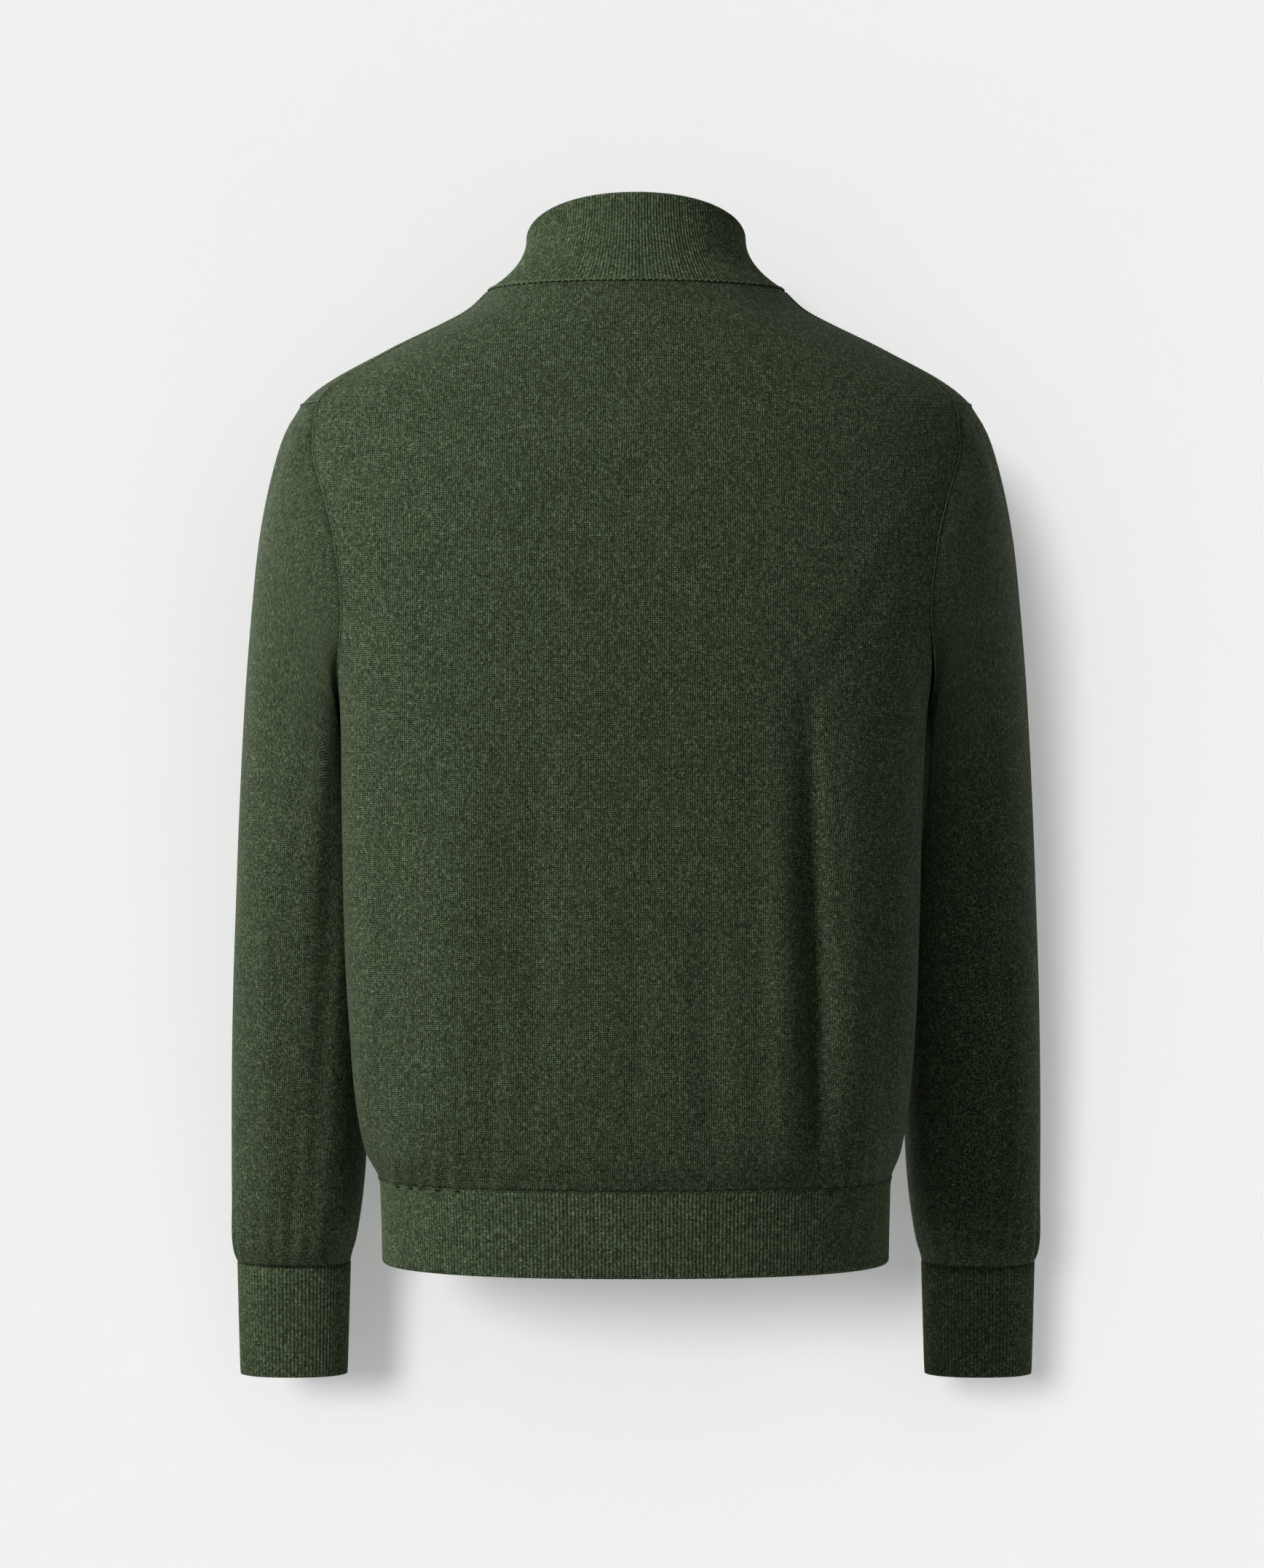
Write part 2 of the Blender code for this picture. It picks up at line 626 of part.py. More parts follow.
def front_panel():
    shares = panel_shares(FRONT_COLUMNS, 3)
    half = len(shares) - 1  # columns from the zip's slit to the side seam
    wide = half + SHOULDER_STEPS  # and on over the top of the shoulder
    columns = 2 * wide + 1
    levels = BODY_ROWS + ARMHOLE_ROWS + SHOULDER_ROWS
    first_armhole = len(BODY_ROWS)
    shoulder = first_armhole + len(ARMHOLE_ROWS) - 1
    slit_row = levels.index(ZIP_END_LEVEL)
    trim_turn = EDGE_TRIM / 100  # the body is about 100 from back to front here

    def spot(out, row):
        """Level and angle of the column this far out from the slit, on the left half."""
        level = levels[row]
        if row < shoulder:
            edge = angle_at(level, front_edge(level))
            return level, edge + (FRONT - edge) * shares[min(out, half)]
        climb = (level - SHOULDER_END_LEVEL) / (NECK_LEVEL - SHOULDER_END_LEVEL)
        seam = angle_at(level, at(SHOULDER_SEAM, level).depth)
        top = angle_at(level, at(ARMHOLE, SHOULDER_END_LEVEL).front) * (1 - climb)
        if out <= half:
            angle = top + (FRONT - top) * shares[out]
        else:
            angle = top + (seam - top) * (out - half) / SHOULDER_STEPS
        return level + (neck_level(angle) - NECK_LEVEL) * climb, angle

    def place(column, row, inner):
        left = column > wide
        out = column - wide - 1 if left else wide - column
        level, angle = spot(out, row)
        mitre = None
        if row < shoulder and out == half:
            angle -= trim_turn
            if row >= first_armhole:
                mitre = MITRES[-(row - first_armhole) % len(LOOP)]
        elif row == shoulder and out >= half:
            level += EDGE_TRIM
            mitre = MITRES[SHOULDER_TOP - (out - half)]
        if out == wide:
            angle -= trim_turn
        turn = angle if left else pi - angle
        point = body_point(level, turn)
        if out == 0:
            point.x = ZIP_SLIT / 2 if left else -ZIP_SLIT / 2
        normal = normal_of(section_point, level, turn)
        if mitre:
            normal = mitre if left else mirrored(mitre)
        if inner:
            point -= normal * BODY_CLOTH
        if row == 0:
            point.z = level
        return point

    def missing(column, row):
        beyond = abs(column - (wide + 0.5)) > half + 0.5
        slit = abs(column - (wide + 0.5)) < 0.5
        return (beyond and row < shoulder) or (slit and row > slit_row)

    return wall("front_panel", columns, len(levels) - 1, place, missing)


def sleeve(side, name):
    rows = len(SLEEVE) - 1

    def place(column, row, inner):
        point = sleeve_point(row, column)
        if row == 0:
            point += (sleeve_point(1, column) - point).normalized() * SEAM_GAP
        if inner:
            point -= (MITRES[column] if row == 0 else sleeve_normal(row, column)) * BODY_CLOTH
        return point if side > 0 else mirrored(point)

    return wall(name, len(LOOP), rows, place, tube=True)


def cuff(side, name):
    def place(turn, row, depth):
        inward = -BAND_CLOTH if depth is None else -depth
        point = oval_point(CUFF[row], 2 * pi * turn, inward)
        return point if side > 0 else mirrored(point)

    return ribbed_wall(name, CUFF_RIBS, len(CUFF) - 1, place, tube=True)


def hem_band():
    levels = (HEM_SEAM_LEVEL, HEM_LEVEL)

    def place(turn, row, depth):
        angle = 2 * pi * turn
        normal = normal_of(section_point, HEM_LEVEL, angle)
        normal.z = 0
        return section_point(levels[row], angle) - normal * (BAND_CLOTH if depth is None else depth)

    return ribbed_wall("hem_band", HEM_RIBS, len(levels) - 1, place, tube=True)


def collar():
    rises = (0, 0.12, 0.35, 0.65, 0.96, 1)
    opening = asin(ZIP_SLIT / 2 / RIM_HALF_WIDTH)

    def place(turn, row, depth):
        angle = FRONT + opening + (2 * pi - 2 * opening) * turn
        inward = COLLAR_CLOTH - COLLAR_PROUD if depth is None else depth - COLLAR_PROUD
        if row == len(rises) - 1:
            inward = max(inward, RIM_ROUND - COLLAR_PROUD)
            inward = min(inward, COLLAR_CLOTH - RIM_ROUND - COLLAR_PROUD)
        point = collar_point(rises[row], angle, inward)
        if row == 0:
            climb = collar_point(rises[1], angle, 0) - collar_point(0, angle, 0)
            point += climb.normalized() * SEAM_GAP * 2
        if turn in (0, 1):
            point.x = ZIP_SLIT / 2 * (1 if turn == 0 else -1)
        return point

    return ribbed_wall("collar", COLLAR_RIBS, len(rises) - 1, place)


# ---------------------------------------------------------------- zip


def zip_stations(top_rise):
    """Rises on the collar, then levels on the front, down the middle of the zip."""
    rises = [top_rise, 0.8, 0.62, 0.45, 0.3, 0.18, 0.08]
    levels = [-52, -60, -67, -75, -82, -112, -142, -171, ZIP_END_LEVEL]
    return [("collar", rise) for rise in rises] + [("front", level) for level in levels]


def zip_point(station, x, depth):
    """A point of the zip at this x, this deep under the cloth's outer face."""
    place, along = station
    if place == "collar":
        surface, half = lambda angle: collar_point(along, angle, depth), RIM_HALF_WIDTH
    else:
        surface, half = lambda angle: body_point(along, angle, depth), at(SECTIONS, along).half_left
    point = surface(FRONT + asin(x / half))
    point.x = x
    return point


def strip(name, xs, depth, thick, stations, columns):
    """A long flat piece of the zip between two x."""

    def place(column, row, inner):
        x = xs[0] + (xs[1] - xs[0]) * column / columns
        return zip_point(stations[row], x, depth + (thick if inner else 0))

    return wall(name, columns, len(stations) - 1, place)


def slider_frame():
    """At the slider's middle: X across, Y up along the zip and Z out of the cloth."""
    length = (plain_collar(1, FRONT) - plain_collar(0, FRONT)).length
    rise = 1 - SLIDER_BELOW_RIM / length
    middle = plain_collar(rise, FRONT)
    up = (plain_collar(rise + 0.02, FRONT) - plain_collar(rise - 0.02, FRONT)).normalized()
    out = Vector((1, 0, 0)).cross(up)
    frame = Matrix((Vector((1, 0, 0)), up, out)).transposed().to_4x4()
    return Matrix.Translation(middle) @ frame, rise


def slider(frame):
    """Two plates joined by a post at their upper end, and the arch that holds the tab."""
    plate_bottom = -CHAIN_DEPTH + SEAM_GAP
    under_top = -CHAIN_DEPTH - CHAIN_THICK - SEAM_GAP
    size = (SLIDER_WIDTH, SLIDER_LENGTH, SLIDER_PLATE)
    body = box("zip_slider", size, (0, 0, plate_bottom + SLIDER_PLATE / 2), frame)
    under = box("slider_under_plate", size, (0, 0, under_top - SLIDER_PLATE / 2), frame)
    post_height = plate_bottom - under_top + SLIDER_PLATE
    post_size = (POST_WIDTH, POST_LENGTH, post_height)
    post_y = (SLIDER_LENGTH - POST_LENGTH) / 2 - POST_INSET
    post = box("slider_post", post_size, (0, post_y, (plate_bottom + under_top) / 2), frame)
    axis_height = plate_bottom + SLIDER_PLATE + ARCH_RISE
    arch = disc("slider_arch", ARCH_RADIUS, ARCH_WIDTH, (0, 0, axis_height), frame)
    foot_size = (ARCH_WIDTH, 2 * ARCH_RADIUS, ARCH_RISE + ARCH_SINK)
    foot = box("slider_foot", foot_size, (0, 0, axis_height - foot_size[2] / 2), frame)
    eye = disc("slider_eye", ARCH_HOLE, 2 * ARCH_WIDTH, (0, 0, axis_height), frame)
    for helper in (under, post, arch, foot):
        combine(body, "UNION", helper)
    combine(body, "DIFFERENCE", eye)
    return body, frame @ Vector((0, 0, axis_height)), post_y - POST_LENGTH / 2


def pull_tab(frame, axis):
    """The tab hangs from its bar in the slider's arch. Its origin is on the bar."""
    turned = Matrix.Translation(axis) @ frame.to_3x3().to_4x4() @ Matrix.Rotation(-TAB_LEAN, 4, "X")
    size = (TAB_WIDTH, TAB_LENGTH + TAB_BAR, TAB_THICK)
    tab = box("zip_pull_tab", size, (0, TAB_BAR - size[1] / 2, 0), turned)
    eye_length = TAB_EYE_END - TAB_BAR
    eye_size = (TAB_EYE_WIDTH, eye_length, 2 * TAB_THICK)
    eye = box("tab_eye", eye_size, (0, -TAB_BAR - eye_length / 2, 0), turned)
    combine(tab, "DIFFERENCE", eye)
    tab.data.transform(Matrix.Translation(-axis * MM))
    tab.location = axis * MM
    return tab


def zip_parts():
    frame, slider_rise = slider_frame()
    body, axis, post_end = slider(frame)
    length = (plain_collar(1, FRONT) - plain_collar(0, FRONT)).length
    chain_rise = slider_rise + (post_end - SEAM_GAP) / length
    tape_start = CHAIN_WIDTH / 2 + SEAM_GAP
    tape_end = tape_start + TAPE_WIDTH - CHAIN_WIDTH / 2
    tapes = []
    for name, side in (("zip_tape_left", 1), ("zip_tape_right", -1)):
        xs = (side * tape_start, side * tape_end)
        tapes.append(strip(name, xs, TAPE_DEPTH, TAPE_THICK, zip_stations(TAPE_TOP_RISE), 2))
    chain_end = ZIP_END_LEVEL + STOP_LENGTH + 2 * STOP_CLEAR
    stations = zip_stations(chain_rise)[:-1] + [("front", chain_end)]
    xs = (-CHAIN_WIDTH / 2, CHAIN_WIDTH / 2)
    chain = strip("zip_chain", xs, CHAIN_DEPTH, CHAIN_THICK, stations, 1)
    stations = [("front", chain_end - STOP_GAP), ("front", chain_end - STOP_GAP - STOP_LENGTH)]
    stop_depth, stop_thick = CHAIN_DEPTH - STOP_PROUD, CHAIN_THICK + STOP_PROUD
    stop = strip("zip_bottom_stop", xs, stop_depth, stop_thick, stations, 1)
    return tapes, [chain, stop, body, pull_tab(frame, axis)]


for old in list(bpy.data.objects):
    bpy.data.objects.remove(old, do_unlink=True)

knit = [back_panel(), front_panel(), sleeve(1, "sleeve_left"), sleeve(-1, "sleeve_right")]
ribbed = [cuff(1, "cuff_left"), cuff(-1, "cuff_right"), hem_band(), collar()]
tapes, metal = zip_parts()
material("moss knit", (0.034, 0.045, 0.025), 0.9, 0, knit)
material("moss rib", (0.030, 0.041, 0.023), 0.9, 0, ribbed)
material("zip tape", (0.022, 0.030, 0.018), 0.8, 0, tapes)
material("dark zip metal", (0.12, 0.12, 0.11), 0.35, 1, metal)
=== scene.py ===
import bpy
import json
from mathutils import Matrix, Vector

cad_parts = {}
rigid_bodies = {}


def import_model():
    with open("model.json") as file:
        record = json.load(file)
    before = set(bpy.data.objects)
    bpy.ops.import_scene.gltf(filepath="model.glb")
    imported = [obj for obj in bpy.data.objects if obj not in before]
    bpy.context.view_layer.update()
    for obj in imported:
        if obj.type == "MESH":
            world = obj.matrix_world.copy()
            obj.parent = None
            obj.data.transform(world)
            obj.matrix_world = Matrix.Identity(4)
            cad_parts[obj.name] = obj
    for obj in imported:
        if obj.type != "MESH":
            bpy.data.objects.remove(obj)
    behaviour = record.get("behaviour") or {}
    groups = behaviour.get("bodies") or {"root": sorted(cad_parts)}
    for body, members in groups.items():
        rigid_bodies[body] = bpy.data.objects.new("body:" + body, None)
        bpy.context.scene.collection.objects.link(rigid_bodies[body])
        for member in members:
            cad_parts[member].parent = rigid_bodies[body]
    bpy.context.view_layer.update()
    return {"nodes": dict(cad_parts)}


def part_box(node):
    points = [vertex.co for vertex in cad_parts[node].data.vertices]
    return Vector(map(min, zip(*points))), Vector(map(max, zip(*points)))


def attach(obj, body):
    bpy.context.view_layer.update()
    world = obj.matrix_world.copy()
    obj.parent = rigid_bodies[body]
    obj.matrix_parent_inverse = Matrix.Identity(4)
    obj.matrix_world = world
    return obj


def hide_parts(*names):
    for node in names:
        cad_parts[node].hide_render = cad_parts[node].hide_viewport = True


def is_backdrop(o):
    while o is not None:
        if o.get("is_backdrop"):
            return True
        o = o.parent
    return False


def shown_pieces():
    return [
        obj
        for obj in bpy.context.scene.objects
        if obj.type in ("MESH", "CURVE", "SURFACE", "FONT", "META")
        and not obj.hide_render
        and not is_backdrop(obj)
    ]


for old in list(bpy.data.objects):
    bpy.data.objects.remove(old, do_unlink=True)
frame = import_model()

import json
from bisect import bisect_right
from collections import namedtuple
from math import asin, cos, pi, radians, sin

import bmesh
from mathutils import Matrix, Vector

# ---------------------------------------------------------------- the studio
# A pale wall close behind the garment, a pale floor below it, one strong soft light from the
# upper left of the picture and weak fill. The camera looks at the back of the garment.

CAMERA_PLACE = (0.0028, 2.54, -0.341)
WALL_Y, FLOOR_Z = -0.180, -1.250
PALE = 0.855


def node(tree, kind, inputs=None, **settings):
    """Adds a node with its settings, and links or sets its inputs."""
    made = tree.nodes.new(kind)
    for name, value in settings.items():
        setattr(made, name, value)
    for key, value in (inputs or {}).items():
        if isinstance(value, bpy.types.NodeSocket):
            tree.links.new(value, made.inputs[key])
        else:
            made.inputs[key].default_value = value
    return made


def new_material(name):
    made = bpy.data.materials.new(name)
    made.use_nodes = True
    made.node_tree.nodes.clear()
    return made, made.node_tree


def add_object(name, data, place=None):
    obj = bpy.data.objects.new(name, data)
    bpy.context.scene.collection.objects.link(obj)
    if place is not None:
        obj.matrix_world = place
    return obj


camera_data = bpy.data.cameras.new("camera")
camera_data.lens, camera_data.sensor_width, camera_data.clip_end = 85, 36, 50
towards_back = Matrix.Rotation(pi, 4, "Z") @ Matrix.Rotation(pi / 2, 4, "X")
camera = add_object("camera", camera_data, Matrix.Translation(CAMERA_PLACE) @ towards_back)
bpy.context.scene.camera = camera
bpy.context.scene.view_settings.view_transform = "Standard"

# The wall is a sheet of opal acrylic with some light behind it. It lets the views from the
# front and their light through.
wall_sheet, tree = new_material("backlit opal acrylic")
surface = node(tree, "ShaderNodeBsdfDiffuse", {"Color": (PALE, PALE, PALE, 1)})
glow = node(tree, "ShaderNodeEmission", {"Color": (1, 1, 1, 1), "Strength": 0.22})
paint = node(tree, "ShaderNodeAddShader", {0: surface.outputs[0], 1: glow.outputs[0]})
clear = node(tree, "ShaderNodeBsdfTransparent")
facing = node(tree, "ShaderNodeNewGeometry").outputs["Backfacing"]
shadow_ray = node(tree, "ShaderNodeLightPath").outputs["Is Shadow Ray"]
open_way = node(tree, "ShaderNodeMath", {0: facing, 1: shadow_ray}, operation="MAXIMUM")
mixed = node(tree, "ShaderNodeMixShader", {0: open_way.outputs[0], 1: paint.outputs[0], 2: clear.outputs[0]})
node(tree, "ShaderNodeOutputMaterial", {"Surface": mixed.outputs[0]})

# The floor glows too, but only to the camera, so that it throws no light up at the garment.
floor_paint, tree = new_material("pale studio floor")
surface = node(tree, "ShaderNodeBsdfDiffuse", {"Color": (PALE, PALE, PALE, 1)})
seen = node(tree, "ShaderNodeLightPath").outputs["Is Camera Ray"]
strength = node(tree, "ShaderNodeMath", {0: seen, 1: 0.5}, operation="MULTIPLY")
glow = node(tree, "ShaderNodeEmission", {"Color": (1, 1, 1, 1), "Strength": strength.outputs[0]})
paint = node(tree, "ShaderNodeAddShader", {0: surface.outputs[0], 1: glow.outputs[0]})
node(tree, "ShaderNodeOutputMaterial", {"Surface": paint.outputs[0]})


def stage_plane(name, size, place, paint_used):
    bm = bmesh.new()
    bmesh.ops.create_grid(bm, x_segments=1, y_segments=1, size=size / 2, matrix=place)
    mesh = bpy.data.meshes.new(name)
    bm.to_mesh(mesh)
    bm.free()
    mesh.materials.append(paint_used)
    obj = add_object(name, mesh)
    obj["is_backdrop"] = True
    return obj


backdrop = stage_plane(
    "backdrop", 9, Matrix.Translation((0, WALL_Y, 0)) @ Matrix.Rotation(-pi / 2, 4, "X"), wall_sheet
)
stage_plane("floor", 9, Matrix.Translation((0, 0, FLOOR_Z)), floor_paint)


def light(name, kind, only, place=(0, 0, 0), towards=(0, 0, -1), **settings):
    """A light that shines along a direction on the objects of one collection."""
    data = bpy.data.lights.new(name, kind)
    for setting, value in settings.items():
        setattr(data, setting, value)
    turn = Vector(towards).to_track_quat("-Z", "Y").to_matrix().to_4x4()
    obj = add_object(name, data, Matrix.Translation(place) @ turn)
    obj.light_linking.receiver_collection = only
    return obj


wall_only = bpy.data.collections.new("lit as wall")
wall_only.objects.link(backdrop)
garment_only = bpy.data.collections.new("lit as garment")
light("wall light", "SUN", wall_only, towards=(-0.27, -1, -0.23), energy=1.48, angle=radians(13))
light("wall fill", "SUN", wall_only, towards=(-0.05, -1, -0.1), energy=0.84, angle=radians(75))
light("key light", "AREA", garment_only, (1.45, 1.00, 0.36), (-1.45, -1.00, -0.68), energy=32, size=0.75)
light("top fill", "SUN", garment_only, towards=(-0.2, -0.2, -1), energy=0.10, angle=radians(50))
light("back fill", "SUN", garment_only, towards=(0.0, -1, 0.25), energy=0.46, angle=radians(40))
light("front light", "SUN", garment_only, towards=(-0.5, 0.85, -0.35), energy=1.35, angle=radians(40))
light("front fill", "SUN", garment_only, towards=(0.15, 0.95, 0.1), energy=0.3, angle=radians(60))

world = bpy.data.worlds.new("studio")
bpy.context.scene.world = world
world.use_nodes = True
tree = world.node_tree
tree.nodes.clear()
seen = node(tree, "ShaderNodeLightPath").outputs["Is Camera Ray"]
strength = node(tree, "ShaderNodeMix", {0: seen, 2: 0.04, 3: 1.0}, data_type="FLOAT")
sky = node(tree, "ShaderNodeBackground", {"Color": (PALE, PALE, PALE, 1), "Strength": strength.outputs[0]})
node(tree, "ShaderNodeOutputWorld", {"Surface": sky.outputs[0]})

# ---------------------------------------------------------------- back panel
# Fine-gauge jersey of melange wool yarn, knitted to shape. It is linked to the front at the
# sides and shoulders, to the sleeves round the armholes and to the ribbed hem band below.
# All sizes below are in millimetres, and a finished mesh is in metres.

MM = 0.001
BACK, FRONT = radians(90), radians(-90)
BODY_CLOTH, SEAM_GAP = 1.7, 0.3
NECK_LEVEL, NECK_DROP = -4.0, 44.0
HEM_SEAM_LEVEL, HEM_LEVEL = -609.0, -666.0
UNDERARM_LEVEL, SHOULDER_END_LEVEL = -300.0, -82.0

# Horizontal sections of the body: half widths, depths, and how boxy each is.
Section = namedtuple("Section", "level half_left half_right back front widest back_power front_power")
SECTIONS = [Section(*row) for row in (
    (6, 88, 88, 56, -56, 0, 2.1, 2.0),
    (-4, 101, 101, 62, -60, 0, 2.1, 2.0),
    (-17.5, 116, 116, 69, -65, -1, 2.1, 2.0),
    (-27.5, 134, 134, 74, -69, -1, 2.1, 2.0),
    (-47.5, 177, 177, 81, -76, -2, 2.1, 2.0),
    (-67.5, 213, 213, 88, -85, -2, 2.15, 2.0),
    (-84, 231, 231, 93, -92, -2, 2.2, 2.0),
    (-100, 234, 234, 99, -100, 3, 2.25, 2.0),
    (-120, 232, 232, 105, -107, 10, 2.3, 2.05),
    (-141, 231, 231, 109, -114, 15, 2.35, 2.1),
    (-180, 226, 226, 115, -125, 24, 2.4, 2.15),
    (-233, 210, 210, 118, -128, 31, 2.5, 2.15),
    (-270, 202, 200, 117, -127, 34, 2.55, 2.15),
    (-300, 199.5, 196, 115, -125, 35, 2.6, 2.1),
    (-350, 199, 193.5, 112, -122, 35, 2.6, 2.1),
    (-450, 197, 191, 112, -120, 33, 2.6, 2.1),
    (-505, 194, 189, 115, -121, 30, 2.6, 2.1),
    (-556, 190, 185, 118, -124, 24, 2.6, 2.1),
    (-590, 184, 180, 117, -123, 16, 2.5, 2.1),
    (-609, 175.5, 174, 112, -118, 6, 2.4, 2.1),
    (-625, 174, 173, 111, -117, 5, 2.4, 2.1),
    (-670, 172.8, 172, 110, -116, 5, 2.4, 2.1),
)]
Armhole = namedtuple("Armhole", "level back front")
ARMHOLE = [Armhole(*row) for row in (
    (-300, -8, -8),
    (-292, 18, -30),
    (-270, 50, -50),
    (-233, 72, -62),
    (-180, 75, -62),
    (-141, 62, -51),
    (-118, 50, -40),
    (-100, 45, -24),
    (-82, 37, -2),
)]
Seam = namedtuple("Seam", "level depth")
SHOULDER_SEAM = (Seam(-82, 37), Seam(-66, 31), Seam(-48, 25), Seam(-28, 17), Seam(-4, 10))
SIDE_SEAM = (Seam(-300, -8), Seam(-450, -8), Seam(-590, -5), Seam(-609, -5))


def at(rows, place):
    """The row at this place, on a smooth curve through each column of a table."""
    keys = [row[0] for row in rows]
    sign = 1 if keys[-1] > keys[0] else -1
    i = min(max(bisect_right([sign * key for key in keys], sign * place) - 1, 0), len(rows) - 2)

    def slope(j, column):
        low, high = max(j - 1, 0), min(j + 1, len(rows) - 1)
        return (rows[high][column] - rows[low][column]) / (keys[high] - keys[low])

    span = keys[i + 1] - keys[i]
    t = (place - keys[i]) / span
    values = []
    for column in range(len(rows[0])):
        start, end = rows[i][column], rows[i + 1][column]
        lean = slope(i, column) * span * (t**3 - 2 * t**2 + t)
        lean += slope(i + 1, column) * span * (t**3 - t**2)
        values.append(start + (end - start) * (3 * t**2 - 2 * t**3) + lean)
    return type(rows[0])(*values)


section_memory = {}


def section_at(level):
    """The body's section at a level, kept for the many points that share it."""
    key = round(level, 4)
    if key not in section_memory:
        section_memory[key] = at(SECTIONS, level)
    return section_memory[key]


def boxy(angle, power):
    """Cosine and sine pushed out from a circle towards a square."""
    reach = (abs(cos(angle)) ** power + abs(sin(angle)) ** power) ** (-1 / power)
    return reach * cos(angle), reach * sin(angle)


def half_form(section, to_back):
    """Depth and boxiness of the back or front half of a section."""
    if to_back:
        return section.back - section.widest, section.back_power
    return section.widest - section.front, section.front_power


def section_point(level, angle):
    """A point of the plain body: angle 0 is the left side, 90 degrees the back."""
    section = section_at(level)
    depth, power = half_form(section, sin(angle) >= 0)
    across, along = boxy(angle, power)
    half = section.half_left if across >= 0 else section.half_right
    return Vector((half * across, section.widest + depth * along, level))


def normal_of(surface, first, second):
    """The outward normal of surface(first, second) where first is a height and second an angle."""
    step = 1e-3
    along = surface(first, second + step) - surface(first, second - step)
    up = surface(first + step, second) - surface(first - step, second)
    return along.cross(up).normalized()


def hump(distance):
    """1 at the middle, fading smoothly to 0 at a distance of 1."""
    return cos(distance * pi / 2) ** 2 if abs(distance) < 1 else 0


# Soft folds: a ridge has a positive height, a valley a negative one. The fine ones cross the
# main ones, and the gathers stand over the hem's seam.
Fold = namedtuple("Fold", "x_top top x_low low half_width height")
BACK_FOLDS = [Fold(*row) for row in (
    (112, -270, 128, -590, 42, 4.0),
    (-112, -250, -122, -600, 15, -6.5),
    (-91, -250, -98, -600, 15, 3.0),
    (-143, -270, -146, -600, 17, 2.8),
    (64, -250, 66, -590, 20, -2.0),
    (-44, -380, -50, -600, 18, -2.0),
    (-205, -115, -112, -262, 17, 0.8),
    (-190, -160, -92, -330, 15, -0.7),
    (196, -150, 128, -300, 16, 0.7),
    (30, -300, 22, -560, 26, 0.9),
    (-8, -420, 4, -600, 14, -0.9),
    (-114, -245, -122, -604, 8, -3.2),
    (88, -470, 96, -606, 9, -1.1),
    (164, -330, 170, -600, 12, -1.4),
    (-166, -330, -168, -600, 10, -1.5),
)]
FRONT_FOLDS = [Fold(*row) for row in (
    (104, -270, 118, -600, 22, -4.5),
    (76, -290, 86, -600, 20, 3.0),
    (-96, -260, -112, -600, 24, -4.5),
    (-128, -300, -138, -600, 18, 3.0),
    (198, -125, 112, -262, 17, 1.8),
    (-198, -125, -112, -262, 17, 1.8),
    (40, -330, 34, -580, 22, -1.2),
    (-34, -360, -30, -590, 20, 1.1),
)]
GATHER_TOP, GATHER_HALF_WIDTH, GATHER_HEIGHT = -566, 4.6, 2.0
BACK_GATHERS = (119, 132, 142, 151, 160, -125, -134, -142, -150, -158)
FRONT_GATHERS = (114, 126, 138, 149, -118, -130, -141, -151)


def fold_height(point):
    """How far the folds and gathers lift the cloth at a point of the plain body."""
    to_back = point.y > 0
    height = 0
    for fold in BACK_FOLDS if to_back else FRONT_FOLDS:
        along = (fold.top - point.z) / (fold.top - fold.low)
        if 0 < along < 1:
            middle = fold.x_top + (fold.x_low - fold.x_top) * along
            height += fold.height * sin(pi * along**1.5) ** 0.8 * hump((point.x - middle) / fold.half_width)
    if point.z < GATHER_TOP:
        along = (GATHER_TOP - point.z) / (GATHER_TOP - HEM_SEAM_LEVEL)
        for x in BACK_GATHERS if to_back else FRONT_GATHERS:
            height += GATHER_HEIGHT * sin(pi / 2 * along) * hump((point.x - x) / GATHER_HALF_WIDTH)
    return height


def body_point(level, angle, depth=0.0):
    """A point of the body's cloth, this deep under its outer face."""
    plain = section_point(level, angle)
    return plain + normal_of(section_point, level, angle) * (fold_height(plain) - depth)


def angle_at(level, depth):
    """The angle at which the left side of a section of the body reaches a depth."""
    low, high = FRONT, BACK
    for _ in range(40):
        middle = (low + high) / 2
        if section_point(level, middle).y < depth:
            low = middle
        else:
            high = middle
    return low


def back_edge(level):
    """Depth of the back panel's edge: side seam, armhole, then shoulder seam."""
    if level > SHOULDER_END_LEVEL:
        return at(SHOULDER_SEAM, level).depth
    if level > UNDERARM_LEVEL:
        return at(ARMHOLE, level).back
    return at(SIDE_SEAM, level).depth


def neck_level(angle):
    """The level of the neckline, which drops round the front."""
    forward = max(-sin(angle), 0)
    return NECK_LEVEL - NECK_DROP * forward**1.6


def lengths(points):
    """How far along a line each of its points lies."""
    run = [0.0]
    for here, there in zip(points, points[1:]):
        run.append(run[-1] + (there - here).length)
    return run


def spot_on(run, share):
    """The point before this share of a line, by number, and how far on to the next it lies."""
    goal = run[-1] * share
    i = min(bisect_right(run, goal), len(run) - 1) - 1
    return i, (goal - run[i]) / (run[i + 1] - run[i])


def finish(name, bm, smooth=True):
    """Closes a bmesh that is in millimetres into an object in metres."""
    bmesh.ops.recalc_face_normals(bm, faces=bm.faces)
    if bm.calc_volume(signed=True) < 0:
        bmesh.ops.reverse_faces(bm, faces=bm.faces)
    bmesh.ops.scale(bm, vec=(MM, MM, MM), verts=bm.verts)
    mesh = bpy.data.meshes.new(name)
    bm.to_mesh(mesh)
    bm.free()
    if smooth:
        mesh.shade_smooth()
    return add_object(name, mesh)


